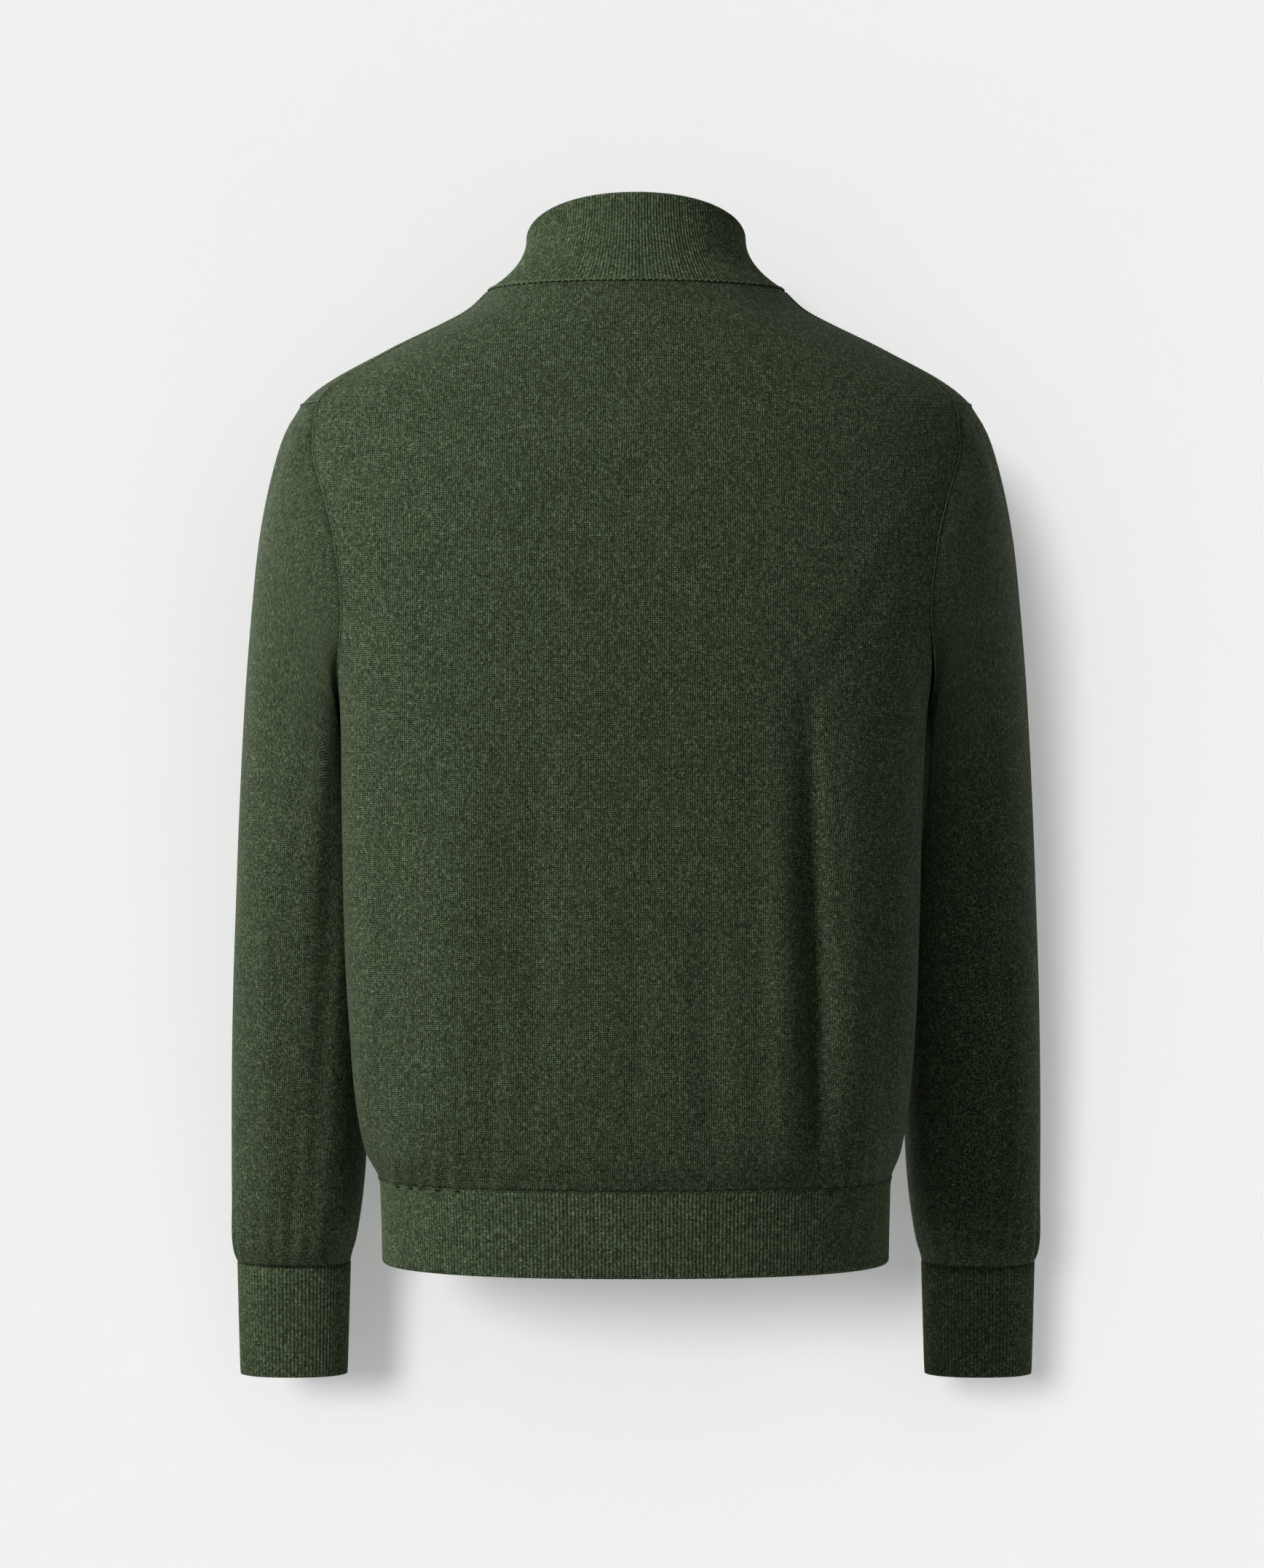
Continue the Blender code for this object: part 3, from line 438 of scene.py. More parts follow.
def cloth(name, place, columns, rows, thick, tube=False, missing=None):
    """A knitted wall with a UV map in millimetres: U along its courses and V across them.

    place(column, row) gives a point of the outer face, and the direction out of the cloth.
    V starts at the first row, or at the last one of a tube. missing(column, row) tells whether
    the face with this middle is left out.
    """
    spots = [[place(column, row) for column in range(columns + 1)] for row in range(rows + 1)]
    middle = columns // 2

    def rise(low, high, column):
        """How far the next row lies from this one, square to it, where the row has any length."""
        course, reach = Vector(), 0
        while course.length < 0.1:
            reach += 1
            course = low[min(column + reach, columns)][0] - low[max(column - reach, 0)][0]
        step = high[column][0] - low[column][0]
        return (step - step.project(course)).length

    along = [[0.0] * (columns + 1)]
    for low, high in zip(spots, spots[1:]):
        along.append([reach + rise(low, high, column) for column, reach in enumerate(along[-1])])
    if tube:
        full = along[-1][:-1] + along[-1][:1]
        along = [[reach - end for reach, end in zip(line[:-1] + line[:1], full)] for line in along]
    across = []
    for line in spots:
        run = lengths([point for point, _ in line])
        across.append([reach - run[middle] for reach in run])

    bm = bmesh.new()
    column_layer = bm.verts.layers.int.new("column")
    row_layer = bm.verts.layers.int.new("row")
    made = bmesh.ops.create_grid(bm, x_segments=columns, y_segments=rows, size=1, calc_uvs=True)["verts"]
    for i, vert in enumerate(made):
        vert[row_layer], vert[column_layer] = divmod(i, columns + 1)
        vert.co = spots[vert[row_layer]][vert[column_layer]][0]
    uv = bm.loops.layers.uv.verify()
    for face in bm.faces:
        for loop in face.loops:
            row, column = loop.vert[row_layer], loop.vert[column_layer]
            loop[uv].uv = (across[row][column], along[row][column])
    if missing:
        gone = []
        for face in bm.faces:
            column = sum(vert[column_layer] for vert in face.verts) / 4
            row = sum(vert[row_layer] for vert in face.verts) / 4
            if missing(column, row):
                gone.append(face)
        bmesh.ops.delete(bm, geom=gone, context="FACES")
    if tube:
        bmesh.ops.remove_doubles(bm, verts=bm.verts, dist=1e-4)
    raised = bmesh.ops.extrude_face_region(bm, geom=bm.faces[:], use_keep_orig=True)
    for vert in raised["geom"]:
        if isinstance(vert, bmesh.types.BMVert):
            vert.co -= spots[vert[row_layer]][vert[column_layer]][1] * thick
    return finish(name, bm)


def declare_sheet(obj, node_name, width, length):
    """Puts a cloth piece in place of a part of the model and prints the flat size, given in metres, that it
    was cut to.
    """
    area = sum(face.area for face in obj.data.polygons) / 2
    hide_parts(node_name)
    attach(obj, "sweater")
    print(f"{obj.name}: flat {width * 1000:.0f} x {length * 1000:.0f} mm, {area * 1e4:.0f} cm2")


def declare_cloth(obj, node_name, cut_width=None):
    """Puts a jersey piece in place of a part of the model, sized by its UV map, which lays its outer face
    flat.
    """
    spots = [loop.uv for loop in obj.data.uv_layers.active.data]
    width, length = [(max(run) - min(run)) * MM for run in zip(*spots)]
    declare_sheet(obj, node_name, cut_width or width, length)


def linear(code):
    """A Blender colour from an sRGB hex code."""
    parts = [int(code[i : i + 2], 16) / 255 for i in (0, 2, 4)]
    return (*[part / 12.92 if part <= 0.04045 else ((part + 0.055) / 1.055) ** 2.4 for part in parts], 1)


# The melange: how fast the tone changes along the yarn, how far apart the courses lie in the
# noise, the share of broad cloudiness, and the noise's values at the darkest and lightest tone.
TONE_CHANGE, COURSE_APART, CLOUDY, DARKEST, LIGHTEST = 0.4, 7.3, 0.04, 0.34, 0.66
# A stitch: how sharply the sides of a wale fall, how far its legs lean, their share in its
# height, the height where its painted highlight is full, how bright that painted highlight is, and the height
# of its fuzz.
WALE_FALL, LEG_LEAN, LEG_SHARE, HIGHLIGHT_HEIGHT, PAINTED_HIGHLIGHT, FUZZ = 3.0, 0.45, 0.94, 0.9, 2.42, 0.5


def yarn(name, dark, mid, light, wale, course, stitch_depth, unevenness=0.0, painted_gap_shade=0.05):
    """Melange wool yarn in stocking stitch, its wales and courses this far apart in millimetres."""
    made, tree = new_material(name)
    uv = node(tree, "ShaderNodeUVMap").outputs["UV"]
    place = node(tree, "ShaderNodeTexCoord").outputs["Object"]

    # The stitches waver a little from their straight lines.
    waver = node(tree, "ShaderNodeTexNoise", {"Vector": uv, "Scale": 0.11, "Detail": 2.0}).outputs["Color"]
    shift = {0: waver, 1: (0.5, 0.5, 0.5)}
    shift = node(tree, "ShaderNodeVectorMath", shift, operation="SUBTRACT").outputs[0]
    loose = {0: shift, 1: (unevenness, unevenness, 0), 2: uv}
    loose = node(tree, "ShaderNodeVectorMath", loose, operation="MULTIPLY_ADD").outputs[0]
    x, y, _ = node(tree, "ShaderNodeSeparateXYZ", {0: loose}).outputs

    # The yarn runs along each course, and its tone changes every few stitches.
    up = node(tree, "ShaderNodeMath", {0: y, 1: course}, operation="DIVIDE").outputs[0]
    course_number = node(tree, "ShaderNodeMath", {0: up}, operation="FLOOR").outputs[0]
    run = node(tree, "ShaderNodeCombineXYZ", {0: x, 1: course_number}).outputs[0]
    spread = (TONE_CHANGE, COURSE_APART, 0)
    run = node(tree, "ShaderNodeVectorMath", {0: run, 1: spread}, operation="MULTIPLY").outputs[0]
    grain = {"Vector": run, "Scale": 1.0, "Detail": 3.0, "Roughness": 0.95}
    fleck = node(tree, "ShaderNodeTexNoise", grain).outputs["Fac"]
    broad = node(tree, "ShaderNodeTexNoise", {"Vector": place, "Scale": 42.0, "Detail": 3.0}).outputs["Fac"]
    tone = node(tree, "ShaderNodeMix", {0: CLOUDY, 2: fleck, 3: broad}, data_type="FLOAT").outputs[0]
    ramp = node(tree, "ShaderNodeValToRGB", {"Fac": tone})
    first, last = ramp.color_ramp.elements
    first.position, first.color = DARKEST, linear(dark)
    last.position, last.color = LIGHTEST, linear(light)
    ramp.color_ramp.elements.new(0.5).color = linear(mid)

    # A stitch is one V of two legs that lean to the middle of the wale. Each line names a value,
    # the operation that gives it and what goes in.
    fuzz = node(tree, "ShaderNodeTexNoise", {"Vector": uv, "Scale": 3.1, "Detail": 2.0}).outputs["Fac"]
    values = {"x": x, "up": up, "fuzz": fuzz}
    for result, operation, *inputs in (
        ("halves", "DIVIDE", "x", wale / 2),
        ("inwards", "PINGPONG", "halves", 1.0),
        ("side", "SUBTRACT", 1.0, "inwards"),
        ("fall", "POWER", "side", WALE_FALL),
        ("wale_form", "SUBTRACT", 1.0, "fall"),
        ("lean", "MULTIPLY_ADD", "side", LEG_LEAN, "up"),
        ("turn", "MULTIPLY", "lean", 2 * pi),
        ("wave", "SINE", "turn"),
        ("legs", "MULTIPLY_ADD", "wave", LEG_SHARE / 2, 1 - LEG_SHARE / 2),
        ("stitch", "MULTIPLY", "wale_form", "legs"),
        ("height", "MULTIPLY_ADD", "fuzz", FUZZ, "stitch"),
    ):
        linked = {i: values.get(value, value) for i, value in enumerate(inputs)}
        values[result] = node(tree, "ShaderNodeMath", linked, operation=operation).outputs[0]
    # Painted light: the stitch's height darkens the colour in the gaps between the wales, a painted shade,
    # and lightens it on the crowns of the stitches, a painted highlight.
    shade = {"Value": values["stitch"], "From Max": HIGHLIGHT_HEIGHT, "To Min": painted_gap_shade, "To Max": PAINTED_HIGHLIGHT}
    painted_stitch_light = node(tree, "ShaderNodeMapRange", shade).outputs[0]
    parts = {0: 1.0, 6: ramp.outputs["Color"], 7: painted_stitch_light}
    melange_with_painted_light = node(tree, "ShaderNodeMix", parts, data_type="RGBA", blend_type="MULTIPLY", clamp_result=False)
    relief = {"Height": values["height"], "Distance": stitch_depth * MM, "Strength": 0.8}
    shader = node(tree, "ShaderNodeBsdfPrincipled", {
        "Base Color": melange_with_painted_light.outputs[2], "Normal": node(tree, "ShaderNodeBump", relief).outputs[0],
        "Roughness": 0.92, "Specular IOR Level": 0.18,
        "Sheen Weight": 0.05, "Sheen Roughness": 0.6, "Sheen Tint": linear("8f9b7e"),
    })
    node(tree, "ShaderNodeOutputMaterial", {"Surface": shader.outputs[0]})
    return made


jersey = yarn("melange wool jersey", "1a2213", "3a4630", "6a785d", 1.55, 1.24, 0.4, 0.9)

BACK_COLUMNS = 168
FINE_ROW, CLOSE_ROW, BODY_ROW = 1.6, 2.6, 4.2
SEAM_TURN = 0.0016  # from a panel's edge to its seam, in radians round the body


def level_rows():
    """Levels from the hem's seam to the neck, closer where the underarm or a seam bends them."""
    levels = [HEM_SEAM_LEVEL + SEAM_GAP]
    while levels[-1] < NECK_LEVEL:
        level = levels[-1]
        near_underarm = -4 < level - UNDERARM_LEVEL < 32
        near_end = level < HEM_SEAM_LEVEL + 39 or level > SHOULDER_END_LEVEL - 2
        levels.append(level + (FINE_ROW if near_underarm else CLOSE_ROW if near_end else BODY_ROW))
    levels[-1] = NECK_LEVEL
    for exact in (UNDERARM_LEVEL, SHOULDER_END_LEVEL):
        nearest = min(range(len(levels)), key=lambda i: abs(levels[i] - exact))
        levels[nearest] = exact
    return levels


LEVELS = level_rows()


def even_angles(level, start, end, steps):
    """Angles that divide a section of the body into equal lengths, from start to end."""
    fine = [start + (end - start) * i / 240 for i in range(241)]
    run = lengths([section_point(level, angle) for angle in fine])
    angles = []
    for step in range(steps + 1):
        i, share = spot_on(run, step / steps)
        angles.append(fine[i] + (fine[i + 1] - fine[i]) * share)
    return angles


def back_place():
    half = BACK_COLUMNS // 2
    rows = []
    for level in LEVELS:
        edge = angle_at(level, back_edge(level)) + SEAM_TURN
        left = even_angles(level, edge, BACK, half)
        right = even_angles(level, pi - edge, BACK, half)
        rows.append(right + left[-2::-1])

    def place(column, row):
        level, angle = LEVELS[row], rows[row][column]
        return body_point(level, angle), normal_of(section_point, level, angle)

    return place


back = cloth("back", back_place(), BACK_COLUMNS, len(LEVELS) - 1, BODY_CLOTH)
back.data.materials.append(jersey)
declare_cloth(back, "back_panel")

# ---------------------------------------------------------------- front panel
# The same jersey. It wraps back over the shoulders to seams set behind their tops, and is
# slit at the centre for the zip.

FRONT_HALF, OVER_STEPS, ZIP_SLIT, ZIP_END_LEVEL = 86, 12, 9.0, -200.0
SHOULDER_ROW = LEVELS.index(SHOULDER_END_LEVEL)


def front_edge(level):
    if level > UNDERARM_LEVEL:
        return at(ARMHOLE, level).front
    return at(SIDE_SEAM, level).depth


def climbed(level):
    """How far up the shoulder a level lies: 0 at its outer end and 1 at the neck."""
    return (level - SHOULDER_END_LEVEL) / (NECK_LEVEL - SHOULDER_END_LEVEL)


def front_place():
    wide = FRONT_HALF + OVER_STEPS
    armhole_top = angle_at(SHOULDER_END_LEVEL, at(ARMHOLE, SHOULDER_END_LEVEL).front)

    def side_angles(row, left):
        level = LEVELS[row]
        if row < SHOULDER_ROW:
            edge = angle_at(level, front_edge(level)) - SEAM_TURN
        else:
            edge = armhole_top * (1 - climbed(level))
        start = FRONT + asin(ZIP_SLIT / 2 / section_at(level).half_left)
        angles = even_angles(level, start, edge, FRONT_HALF)
        if row >= SHOULDER_ROW:
            seam = angle_at(level, at(SHOULDER_SEAM, level).depth) - SEAM_TURN
            angles += [edge + (seam - edge) * step / OVER_STEPS for step in range(1, OVER_STEPS + 1)]
        else:
            angles += [angles[-1]] * OVER_STEPS
        return angles if left else [pi - angle for angle in angles]

    rows = []
    for row in range(len(LEVELS)):
        rows.append(side_angles(row, False)[::-1] + side_angles(row, True))

    def place(column, row):
        level, angle = LEVELS[row], rows[row][column]
        if row >= SHOULDER_ROW:
            level += (neck_level(angle) - NECK_LEVEL) * climbed(level)
        point = body_point(level, angle)
        if column in (wide, wide + 1):
            point.x = ZIP_SLIT / 2 if column > wide else -ZIP_SLIT / 2
        return point, normal_of(section_point, level, angle)

    def missing(column, row):
        beyond = abs(column - (wide + 0.5)) > FRONT_HALF + 0.5
        slit = abs(column - (wide + 0.5)) < 0.5
        return (beyond and row < SHOULDER_ROW) or (slit and LEVELS[int(row + 0.5)] > ZIP_END_LEVEL)

    return place, missing, 2 * wide + 1


place, missing, columns = front_place()
front = cloth("front", place, columns, len(LEVELS) - 1, BODY_CLOTH, missing=missing)
front.data.materials.append(jersey)
declare_cloth(front, "front_panel")

# ---------------------------------------------------------------- sleeves
# Set-in sleeves of the same jersey, knitted to shape and linked into the armholes. They
# blouse a little over the cuffs, where small gathers take in their width.

Oval = namedtuple("Oval", "row outer_x outer_z inner_x inner_z middle half_depth")
SLEEVE = [Oval(*row) for row in (
    (0, 229, -82, 191, -300, 4, 68),
    (1, 241, -102, 194.3, -303, 2, 68),
    (2, 250.8, -133, 194, -309, -3, 67),
    (3, 258.5, -170, 192.5, -318, -10, 65),
    (4, 263.9, -212, 190, -332, -18, 63),
    (5, 269.4, -265, 187, -352, -28, 61),
    (6, 273.3, -315, 184.5, -376, -36, 58.5),
    (7, 276.6, -370, 183.5, -412, -43, 55),
    (8, 279.3, -425, 184, -455, -49, 51.5),
    (9, 282, -488, 185.5, -505.5, -55, 48),
    (10, 283.5, -550, 187.5, -558, -60, 44.5),
    (11, 284, -605.5, 190, -607.6, -64, 41.5),
    (12, 284, -641.2, 193.4, -641.2, -66, 39),
    (13, 283.1, -661, 197, -661, -67, 36),
    (14, 281.6, -672.1, 200, -672.1, -67.5, 32),
    (15, 280.1, -676.8, 201.2, -676.8, -67.5, 29),
)]
SLEEVE_POWER, SLEEVE_CLEAR = 2.2, 1.2
SLEEVE_EASE_ROWS, SLEEVE_EVEN_ROWS = 4, 8  # where the armhole's form, and its spacing, have faded
ARMHOLE_WAIST = -200  # where the armhole is deepest from back to front
SLEEVE_COLUMNS = 128

# Soft wrinkles of a sleeve: the row and turn where each starts and ends, how far it spreads
# along the cloth in turns, and its height.
Wrinkle = namedtuple("Wrinkle", "row_top turn_top row_low turn_low spread height")
LEFT_WRINKLES = [Wrinkle(*row) for row in (
    (1.5, 100, 6.5, 62, 20, -1.6),
    (3.0, 122, 9.0, 88, 16, 1.5),
    (6.0, 120, 12.5, 104, 13, -1.7),
    (7.0, 60, 12.8, 74, 15, 1.3),
    (9.5, 96, 14.0, 86, 9, -1.4),
    (5.0, -70, 12.0, -92, 18, -1.6),
    (2.0, -110, 9.0, -70, 16, 1.3),
)]
RIGHT_WRINKLES = [Wrinkle(*row) for row in (
    (1.5, 96, 7.0, 66, 18, -1.5),
    (4.0, 116, 10.0, 90, 15, 1.4),
    (7.5, 62, 13.0, 78, 13, -1.2),
    (10.0, 108, 14.0, 98, 9, -1.2),
    (5.0, -70, 12.0, -92, 18, -1.6),
    (2.0, -110, 9.0, -70, 16, 1.3),
)]
GATHER_ROW, GATHER_ROWS, GATHER_TURN, GATHER_SINK = 13.1, 2.1, 7.5, 0.35
CUFF_GATHERS = (18, 34, 52, 67, 84, 101, 116, 138, 166, 200, 228, 251, 272, 296, 322, 344)


def armhole_loop():
    """Level and angle of points evenly round the left armhole: up the back, over, down the front."""
    high_back, high_front = at(ARMHOLE, SHOULDER_END_LEVEL)[1:]
    climb = [UNDERARM_LEVEL + (SHOULDER_END_LEVEL - UNDERARM_LEVEL) * (i / 160) ** 1.6 for i in range(161)]
    spots = [(level, at(ARMHOLE, level).back) for level in climb]
    spots += [(SHOULDER_END_LEVEL, high_back + (high_front - high_back) * i / 20) for i in range(1, 20)]
    spots += [(level, at(ARMHOLE, level).front) for level in reversed(climb[1:])]
    spots = [(level, angle_at(level, depth)) for level, depth in spots]
    spots.append(spots[0])
    run = lengths([section_point(*spot) for spot in spots])
    loop = []
    for column in range(SLEEVE_COLUMNS):
        i, share = spot_on(run, column / SLEEVE_COLUMNS)
        loop.append(tuple(a + (b - a) * share for a, b in zip(spots[i], spots[i + 1])))
    return loop


def oval_frame(section):
    outer = Vector((section.outer_x, 0, section.outer_z))
    inner = Vector((section.inner_x, 0, section.inner_z))
    return (outer + inner) / 2 + Vector((0, section.middle, 0)), (outer - inner) / 2


def oval_point(section, turn, grow=0.0):
    """A point of a sleeve's section: turn 0 is its outer side and 90 degrees its back."""
    middle, reach = oval_frame(section)
    across, along = boxy(turn, SLEEVE_POWER)
    wide = reach * (1 + grow / reach.length) * across
    return middle + wide + Vector((0, (section.half_depth + grow) * along, 0))


def loop_turn(point):
    middle, reach = oval_frame(SLEEVE[0])
    away = point - middle
    across = away.dot(reach) / reach.length_squared
    return Vector((across, away.y / SLEEVE[0].half_depth)).angle_signed(Vector((1, 0)), 0)


LOOP = armhole_loop()
LOOP_POINTS = [body_point(level, angle) for level, angle in LOOP]
LOOP_TURNS = [loop_turn(point) for point in LOOP_POINTS]
underarm_memory = {}


def underarm_level(depth):
    """The level of the armhole's lower edge at this depth."""
    key = round(depth, 1)
    if key not in underarm_memory:
        low, high = UNDERARM_LEVEL, ARMHOLE_WAIST
        for _ in range(20):
            middle = (low + high) / 2
            edge = at(ARMHOLE, middle)
            if edge.front < key < edge.back:
                high = middle
            else:
                low = middle
        underarm_memory[key] = low
    return underarm_memory[key]


def mirrored(vector):
    return Vector((-vector.x, vector.y, vector.z))


def clear_of_body(point):
    """Moves a point of the left sleeve outwards until it is clear of the body beside it."""
    top = underarm_level(point.y)
    if point.z > top - 0.5:
        return point
    section = section_at(max(point.z, HEM_LEVEL))
    depth, power = half_form(section, point.y > section.widest)
    share = min(abs(point.y - section.widest) / depth, 0.98)
    limit = section.half_left * (1 - share**power) ** (1 / power) + SLEEVE_CLEAR * min(1, (top - point.z) / 3)
    spare, soft = point.x - limit, 3.0
    if spare < soft:
        eased = (spare + soft) ** 2 / (4 * soft) if spare > -soft else 0
        point = Vector((limit + eased, point.y, point.z))
    return point


def sleeve_rows():
    """Places along the sleeve's table, about 4.5 mm of cloth apart, and closer at the cuff."""
    rows = []
    for upper, lower in zip(SLEEVE, SLEEVE[1:]):
        length = (oval_point(upper, pi / 2) - oval_point(lower, pi / 2)).length
        steps = max(3, round(length / (4.5 if upper.row < 10 else 3.2)))
        rows += [upper.row + i / steps for i in range(steps)]
    return rows + [SLEEVE[-1].row]


SLEEVE_ROWS = sleeve_rows()


def sleeve_surface(row, column, wrinkles):
    section = at(SLEEVE, row)
    turn = LOOP_TURNS[column]
    uneven = (turn - (pi - 2 * pi * column / SLEEVE_COLUMNS) + pi) % (2 * pi) - pi
    turn -= uneven * 0.5 * min(row / SLEEVE_EVEN_ROWS, 1)
    grow = 0
    for wrinkle in wrinkles:
        along = (row - wrinkle.row_top) / (wrinkle.row_low - wrinkle.row_top)
        if 0 < along < 1:
            middle = radians(wrinkle.turn_top + (wrinkle.turn_low - wrinkle.turn_top) * along)
            away = (turn - middle + pi) % (2 * pi) - pi
            grow += wrinkle.height * sin(pi * along) ** 0.8 * hump(away / radians(wrinkle.spread))
    near_cuff = hump((row - GATHER_ROW) / GATHER_ROWS)
    if near_cuff:
        for i, middle in enumerate(CUFF_GATHERS):
            away = (turn - radians(middle) + pi) % (2 * pi) - pi
            grow += near_cuff * (1.9 - 0.5 * (i % 3)) * hump(away / radians(GATHER_TURN))
        grow -= GATHER_SINK * near_cuff
    point = oval_point(section, turn, grow)
    if row < SLEEVE_EASE_ROWS:
        start = oval_point(SLEEVE[0], LOOP_TURNS[column])
        point += (LOOP_POINTS[column] - start) * (1 - row / SLEEVE_EASE_ROWS) ** 2
    return clear_of_body(point) if row > 0 else point


def sleeve_place(side, wrinkles):
    grid = []
    for row in SLEEVE_ROWS:
        grid.append([sleeve_surface(row, column, wrinkles) for column in range(SLEEVE_COLUMNS)])
    last = len(grid) - 1

    def place(column, row):
        column %= SLEEVE_COLUMNS
        around = grid[row][(column - 1) % SLEEVE_COLUMNS] - grid[row][(column + 1) % SLEEVE_COLUMNS]
        down = grid[min(row + 1, last)][column] - grid[max(row - 1, 0)][column]
        normal = down.cross(around).normalized()
        point = grid[row][column].copy()
        if row == 0:
            normal = (normal_of(section_point, *LOOP[column]) + normal).normalized()
            point += (grid[1][column] - point).normalized() * SEAM_GAP
        if side < 0:
            point, normal = mirrored(point), mirrored(normal)
        return point, normal

    return place


def sleeve_cut_width(obj):
    """The widest line of a sleeve's cut, in metres, from its armhole edge and its cap's height."""
    spots = [loop.uv for loop in obj.data.uv_layers.active.data]
    underarm = max(spots, key=lambda spot: spot.x)
    cap = underarm.y - min(spot.y for spot in spots)
    return 2 * (underarm.x**2 - cap**2) ** 0.5 * MM


for name, side, wrinkles in (("sleeve_left", 1, LEFT_WRINKLES), ("sleeve_right", -1, RIGHT_WRINKLES)):
    place = sleeve_place(side, wrinkles)
    made = cloth(name + "_knit", place, SLEEVE_COLUMNS, len(SLEEVE_ROWS) - 1, BODY_CLOTH, tube=True)
    made.data.materials.append(jersey)
    declare_cloth(made, name, sleeve_cut_width(made))

# ---------------------------------------------------------------- ribbed pieces
# Collar, hem band and cuffs in one-and-one rib of the same yarn, each rib a real ridge. They
# are folded double, so their lower edges and the collar's rim are rolled, not cut.

RIB_RAISE, BAND_CLOTH = 0.45, 2.4
RIB_FORM = (0.0, 0.72, 1.0, 0.72)  # the ridge's height at the four columns of each rib
RIB_PITCH = 2.0  # of one rib in the UV map
INSIDE_RISE, RIM_RISE, OUTSIDE_RISE = 0.8, 0.75, 1.0  # shares of the ridge's height
RIB_TAKE_UP = 1.09  # how much wider a band is knitted, for what its raised ribs take up
# The rib's ridges are real and shade themselves, so its painted shade in the gaps is lighter.
rib_knit = yarn("melange wool rib", "1b2315", "3b4731", "6a785d", RIB_PITCH, 1.24, 0.3, painted_gap_shade=0.38)
# A lighter copy of the yarn: a painted highlight on the seam ridges, where they catch the light.
linking = yarn("melange wool linking thread with painted highlight", "38442d", "4e5b43", "6f7d5f", 1.6, 0.8, 0.1)


def skin(name, lines, closed, uv_at, material):
    """A closed solid round a row of rings, with uv_at(ring, spot) as its UV map."""
    bm = bmesh.new()
    uv = bm.loops.layers.uv.verify()
    rings = [[bm.verts.new(point) for point in line] for line in lines]
    for i, (one, two) in enumerate(zip(rings, rings[1:] + rings[:1] if closed else rings[1:])):
        for j in range(len(one)):
            k = (j + 1) % len(one)
            face = bm.faces.new((one[j], one[k], two[k], two[j]))
            corners = ((i, j), (i, j + 1), (i + 1, j + 1), (i + 1, j))
            for loop, corner in zip(face.loops, corners):
                loop[uv].uv = uv_at(*corner)
    if not closed:
        bm.faces.new(rings[0])
        bm.faces.new(rings[-1])
    made = finish(name, bm)
    made.data.materials.append(material)
    return made


def ribbed(name, ribs, spine, closed=True):
    """A ribbed piece. spine(turn) gives the points of its section, each with its way out and
    how far the ribs rise there; the section runs down the inside and up the outside."""
    columns = ribs * len(RIB_FORM)
    lines = []
    for column in range(columns if closed else columns + 1):
        rise = RIB_FORM[column % len(RIB_FORM)] * RIB_RAISE
        lines.append([point + out * rise * share for point, out, share in spine(column / columns)])
    middle = lines[columns // 2]
    along = lengths(middle + middle[:1])
    return skin(name, lines, closed, lambda i, j: (i * RIB_PITCH / len(RIB_FORM), along[j]), rib_knit)


def declare_ribbed(obj, node_name, surface, steps):
    """Puts a ribbed piece in place of a part of the model, sized by the girth of surface(turn) and the way
    down and up its section.
    """
    width = lengths([surface(2 * pi * i / steps) for i in range(steps + 1)])[-1] * MM * RIB_TAKE_UP
    length = max(loop.uv.y for loop in obj.data.uv_layers.active.data) / 2 * MM
    declare_sheet(obj, node_name, width, length)


def band_section(spot, top, low, out, steps):
    """A folded band's section: down its inside, round its rolled edge and up its outside."""
    points = [(spot(top + (low - top) * i / 8, BAND_CLOTH), -out, INSIDE_RISE) for i in range(9)]
    centre = spot(low, BAND_CLOTH / 2)
    for i in range(1, 5):
        over = pi * i / 5
        away = out * -cos(over) - Vector((0, 0, sin(over)))
        points.append((centre + away * BAND_CLOTH / 2, away, INSIDE_RISE))
    return points + [(spot(low + (top - low) * i / steps, 0), out, OUTSIDE_RISE) for i in range(steps + 1)]


# The collar
COLLAR_RIBS, COLLAR_CLOTH, COLLAR_PROUD = 232, 3.0, 1.0
RIM_HALF_WIDTH, RIM_BACK, RIM_FRONT = 74.0, 45.0, -61.0
RIM_BACK_LEVEL, RIM_FRONT_LEVEL, COLLAR_FLARE = 58.0, 10.0, 2.4
COLLAR_OPENING = asin(ZIP_SLIT / 2 / RIM_HALF_WIDTH)


def rim_point(angle):
    across, along = boxy(angle, 2.1)
    half_depth = (RIM_BACK - RIM_FRONT) / 2
    depth = (RIM_BACK + RIM_FRONT) / 2 + half_depth * along
    share = (depth - RIM_FRONT) / (RIM_BACK - RIM_FRONT)
    level = RIM_FRONT_LEVEL + share * (RIM_BACK_LEVEL - RIM_FRONT_LEVEL)
    return Vector((RIM_HALF_WIDTH * across, depth, level))


def plain_collar(rise, angle):
    """A point of the collar's shape: rise 0 is the neckline and 1 the rim."""
    base, rim = section_point(neck_level(angle), angle), rim_point(angle)
    flare = (1 - rise) ** COLLAR_FLARE if rise < 1 else 0
    plan = rim.lerp(base, flare)
    return Vector((plan.x, plan.y, base.z + (rim.z - base.z) * rise))


def collar_point(rise, angle, depth=0.0):
    """A point of the collar, this deep under the face that continues the body's cloth."""
    normal = normal_of(plain_collar, max(rise, 0.002), angle)
    if rise < 0.1:
        body_normal = normal_of(section_point, neck_level(angle), angle)
        normal = body_normal.lerp(normal, max(rise, 0) / 0.1).normalized()
    return plain_collar(max(rise, 0), angle) - normal * depth


